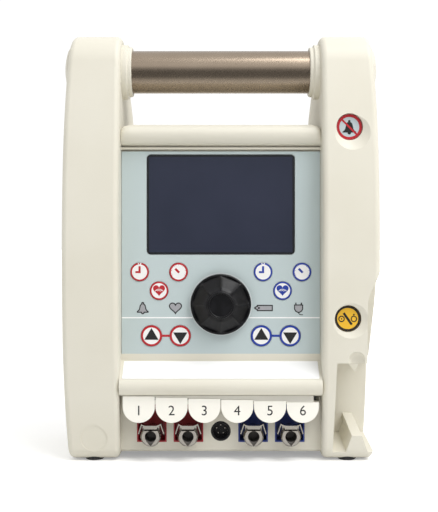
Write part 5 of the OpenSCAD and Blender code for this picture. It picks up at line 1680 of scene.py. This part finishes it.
def ports():
    for node, slot in (("red_port_inserts", "red_plastic"), ("blue_port_inserts", "blue_plastic")):
        dressed(node, slot, 0.4)
    for i in range(1, 5):
        # The coupling bores take a darker finish, as painted shade inside them.
        bore = near([(PORT_XS[i - 1], PORT_Z)], 4.35, deep(6.1), deep(22.1))
        dressed(f"coupling_{i}", "nickel", 0.25, second="bore_steel", chosen=bore)
        dressed(f"latch_{i}", "nickel", 0.35)
    pins = circle(3.4, (0, 21.2), 5, 90)
    dressed("sensor_socket", "black_plastic", 0.25, second="nickel", chosen=near(pins, 0.8, deep(25)))


# Boards and what sits inside


def board_parts(area, y, gap, smallest, largest, seed, finish_name):
    """Small parts scattered over an area (x0, z0, x1, z1) of a board that faces backwards."""
    x0, z0, x1, z1 = area
    bm = bmesh.new()
    bm.faces.new([bm.verts.new((x, y, z)) for x, z in ((x0, z0), (x0, z1), (x1, z1), (x1, z0))])
    return grown("parts", trees["scatter"], bm, gap=gap * MM, smallest=smallest * MM, largest=largest * MM,
                 seed=seed, finish=finish[finish_name])


BOARD_AREAS = ((-66, 58, -54, 180), (-18, 62, 2, 145), (-48, 115, -18, 185), (18, 95, 66, 185),
               (-35, 188, 26, 238))


def main_board():
    """The main board with its chips, and small parts between them."""
    made = [polished("main_board", "circuit_board", 0.3, second="black_plastic",
                     chosen=lambda p: p.y > deep(39.2))]
    for i, area in enumerate(BOARD_AREAS):
        made.append(board_parts(area, deep(39.4), 6.5, 1.2, 3.6, i, "black_plastic"))
        made.append(board_parts(area, deep(39.4), 8.0, 0.8, 2.2, i + 20, "nickel"))
    made = joined("main_board_finished", *made)
    fitted(shaded(made), "frame", "circuit_board", "main_board")


def key_board():
    """The board behind the keys, with a black switch under each key."""
    pads = near(KEY_PLACES.values(), 3.3, high=deep(KEY_BOARD_D - 0.05))
    made = [polished("key_board", "circuit_board", 0.25, second="black_plastic", chosen=pads)]
    for i, x in enumerate((-60, 16)):
        area = (x, 84, x + 44, 150)
        made.append(board_parts(area, deep(KEY_BOARD_D + 1.8), 7.0, 0.7, 1.4, i + 5, "nickel"))
    made = joined("key_board_finished", *made)
    fitted(shaded(made), "frame", "circuit_board", "key_board")


def inner_parts():
    dressed("chassis_frame", "sheet_steel", 0.3)
    dressed("display_module", "sheet_steel", 0.3)
    dressed("rotary_encoder", "sheet_steel", 0.3)
    dressed("encoder_shaft", "bare_steel", 0.3)
    dressed("side_switches", "black_plastic", 0.4)
    dressed("card_tray", "black_plastic", 0.3)
    dressed("power_supply", "sheet_steel", 0.4, second="black_plastic", chosen=inside_supply)
    dressed("battery_pack", "battery_case", 1.6, second="bare_steel", chosen=lambda p: p.z > 136.2)
    dressed("air_pump", "black_plastic", 0.8)
    dressed("valve_manifold", "pale_aluminium", 0.4, second="black_plastic", chosen=lambda p: p.z > 33.1)
    dressed("alarm_speaker", "black_plastic", 0.6)
    prongs = near([(-52, 72), (-45, 76.4), (-38, 72)], 3.2, deep(109.2), deep(123.3))
    dressed("power_inlet", "black_plastic", 0.5, second="nickel", chosen=prongs)


def inside_supply(p):
    return p.x > -66 and deep(66) < p.y < deep(106) and 110 < p.z < 172


# Pole clamp


def clamp():
    dressed("clamp_bracket", "black_paint", 0.5, second="bare_steel", chosen=near(CLAMP_BOLTS, 2.55))
    dressed("clamp_pad", "black_rubber", 0.8)
    clamp_screw()


ROD_R = 4.5
ROD_ROOT = 3.9
ROD_PITCH = 3.0
GRIP_X = 58


def clamp_screw():
    """A turned and threaded rod with a lobed hand knob."""
    rod_profile = [(0, 25), (4.1, 25), (ROD_R, 25.5)]
    at = 26.5
    while at < 55:
        rod_profile += [(ROD_R, at), (ROD_R, at + 0.9), (ROD_ROOT, at + 1.5), (ROD_R, at + 2.1)]
        at += ROD_PITCH
    rod_profile += [(ROD_R, GRIP_X), (0, GRIP_X)]
    rod_piece = as_object("clamp_rod", lathe(rod_profile, "X", (0, CLAMP_Y, CLAMP_Z), 48), "bare_steel")
    shape = rounded([(0, 0), (10, 0), (17, 0), (17, 16), (9, 16), (8, 14.8), (0, 14.8)], 2.4, 5)
    grip = as_object("clamp_grip", lathe(shape, "Z", (0, 0, 0), 120), "black_plastic")
    cutter = grown("cutter", trees["ring"], rod(7.5, "Z", (0, 0, 0), -1, 17, 72), copies=6, radius=21.5 * MM,
                   first_angle=0.0, angle_pitch=math.radians(60))
    cut_by(grip, cutter)
    softened(grip, 0.7, 3, angle=40)
    moved(grip, mm_place(GRIP_X, CLAMP_Y, CLAMP_Z) @ RIGHTWARD)
    made = joined("clamp_screw_finished", rod_piece, grip)
    fitted(shaded(made, 40), "clamp_turner", "black_plastic", "clamp_screw")


# Start of the making
scene.view_settings.view_transform = "Standard"
finish = make_materials()
trees = {"rows": rows_tree(), "ring": ring_tree(), "flutes": flutes_tree(), "scatter": scatter_tree()}
set_camera()
set_lights()
left_column()
right_column()
handle_tube()
handle_collars()
handle_end_caps()
dressed("front_housing", "cream_shell", 0.4, reshape=round_brow_ends, grooves=brow_grooves())
rear_housing()
housing_screws()
rubber_feet()
control_panel()
panel_marks()
display_lens()
label_strip()
panel_keys()
control_knob()
silence_button()
standby_button()
ports()
for number in range(1, 7):
    numbered_card(number)
inner_parts()
main_board()
key_board()
clamp()

floor = as_object("floor", box((-30000, -30000, -2), (30000, 30000, 0)))
floor.data.materials.append(studio_floor())
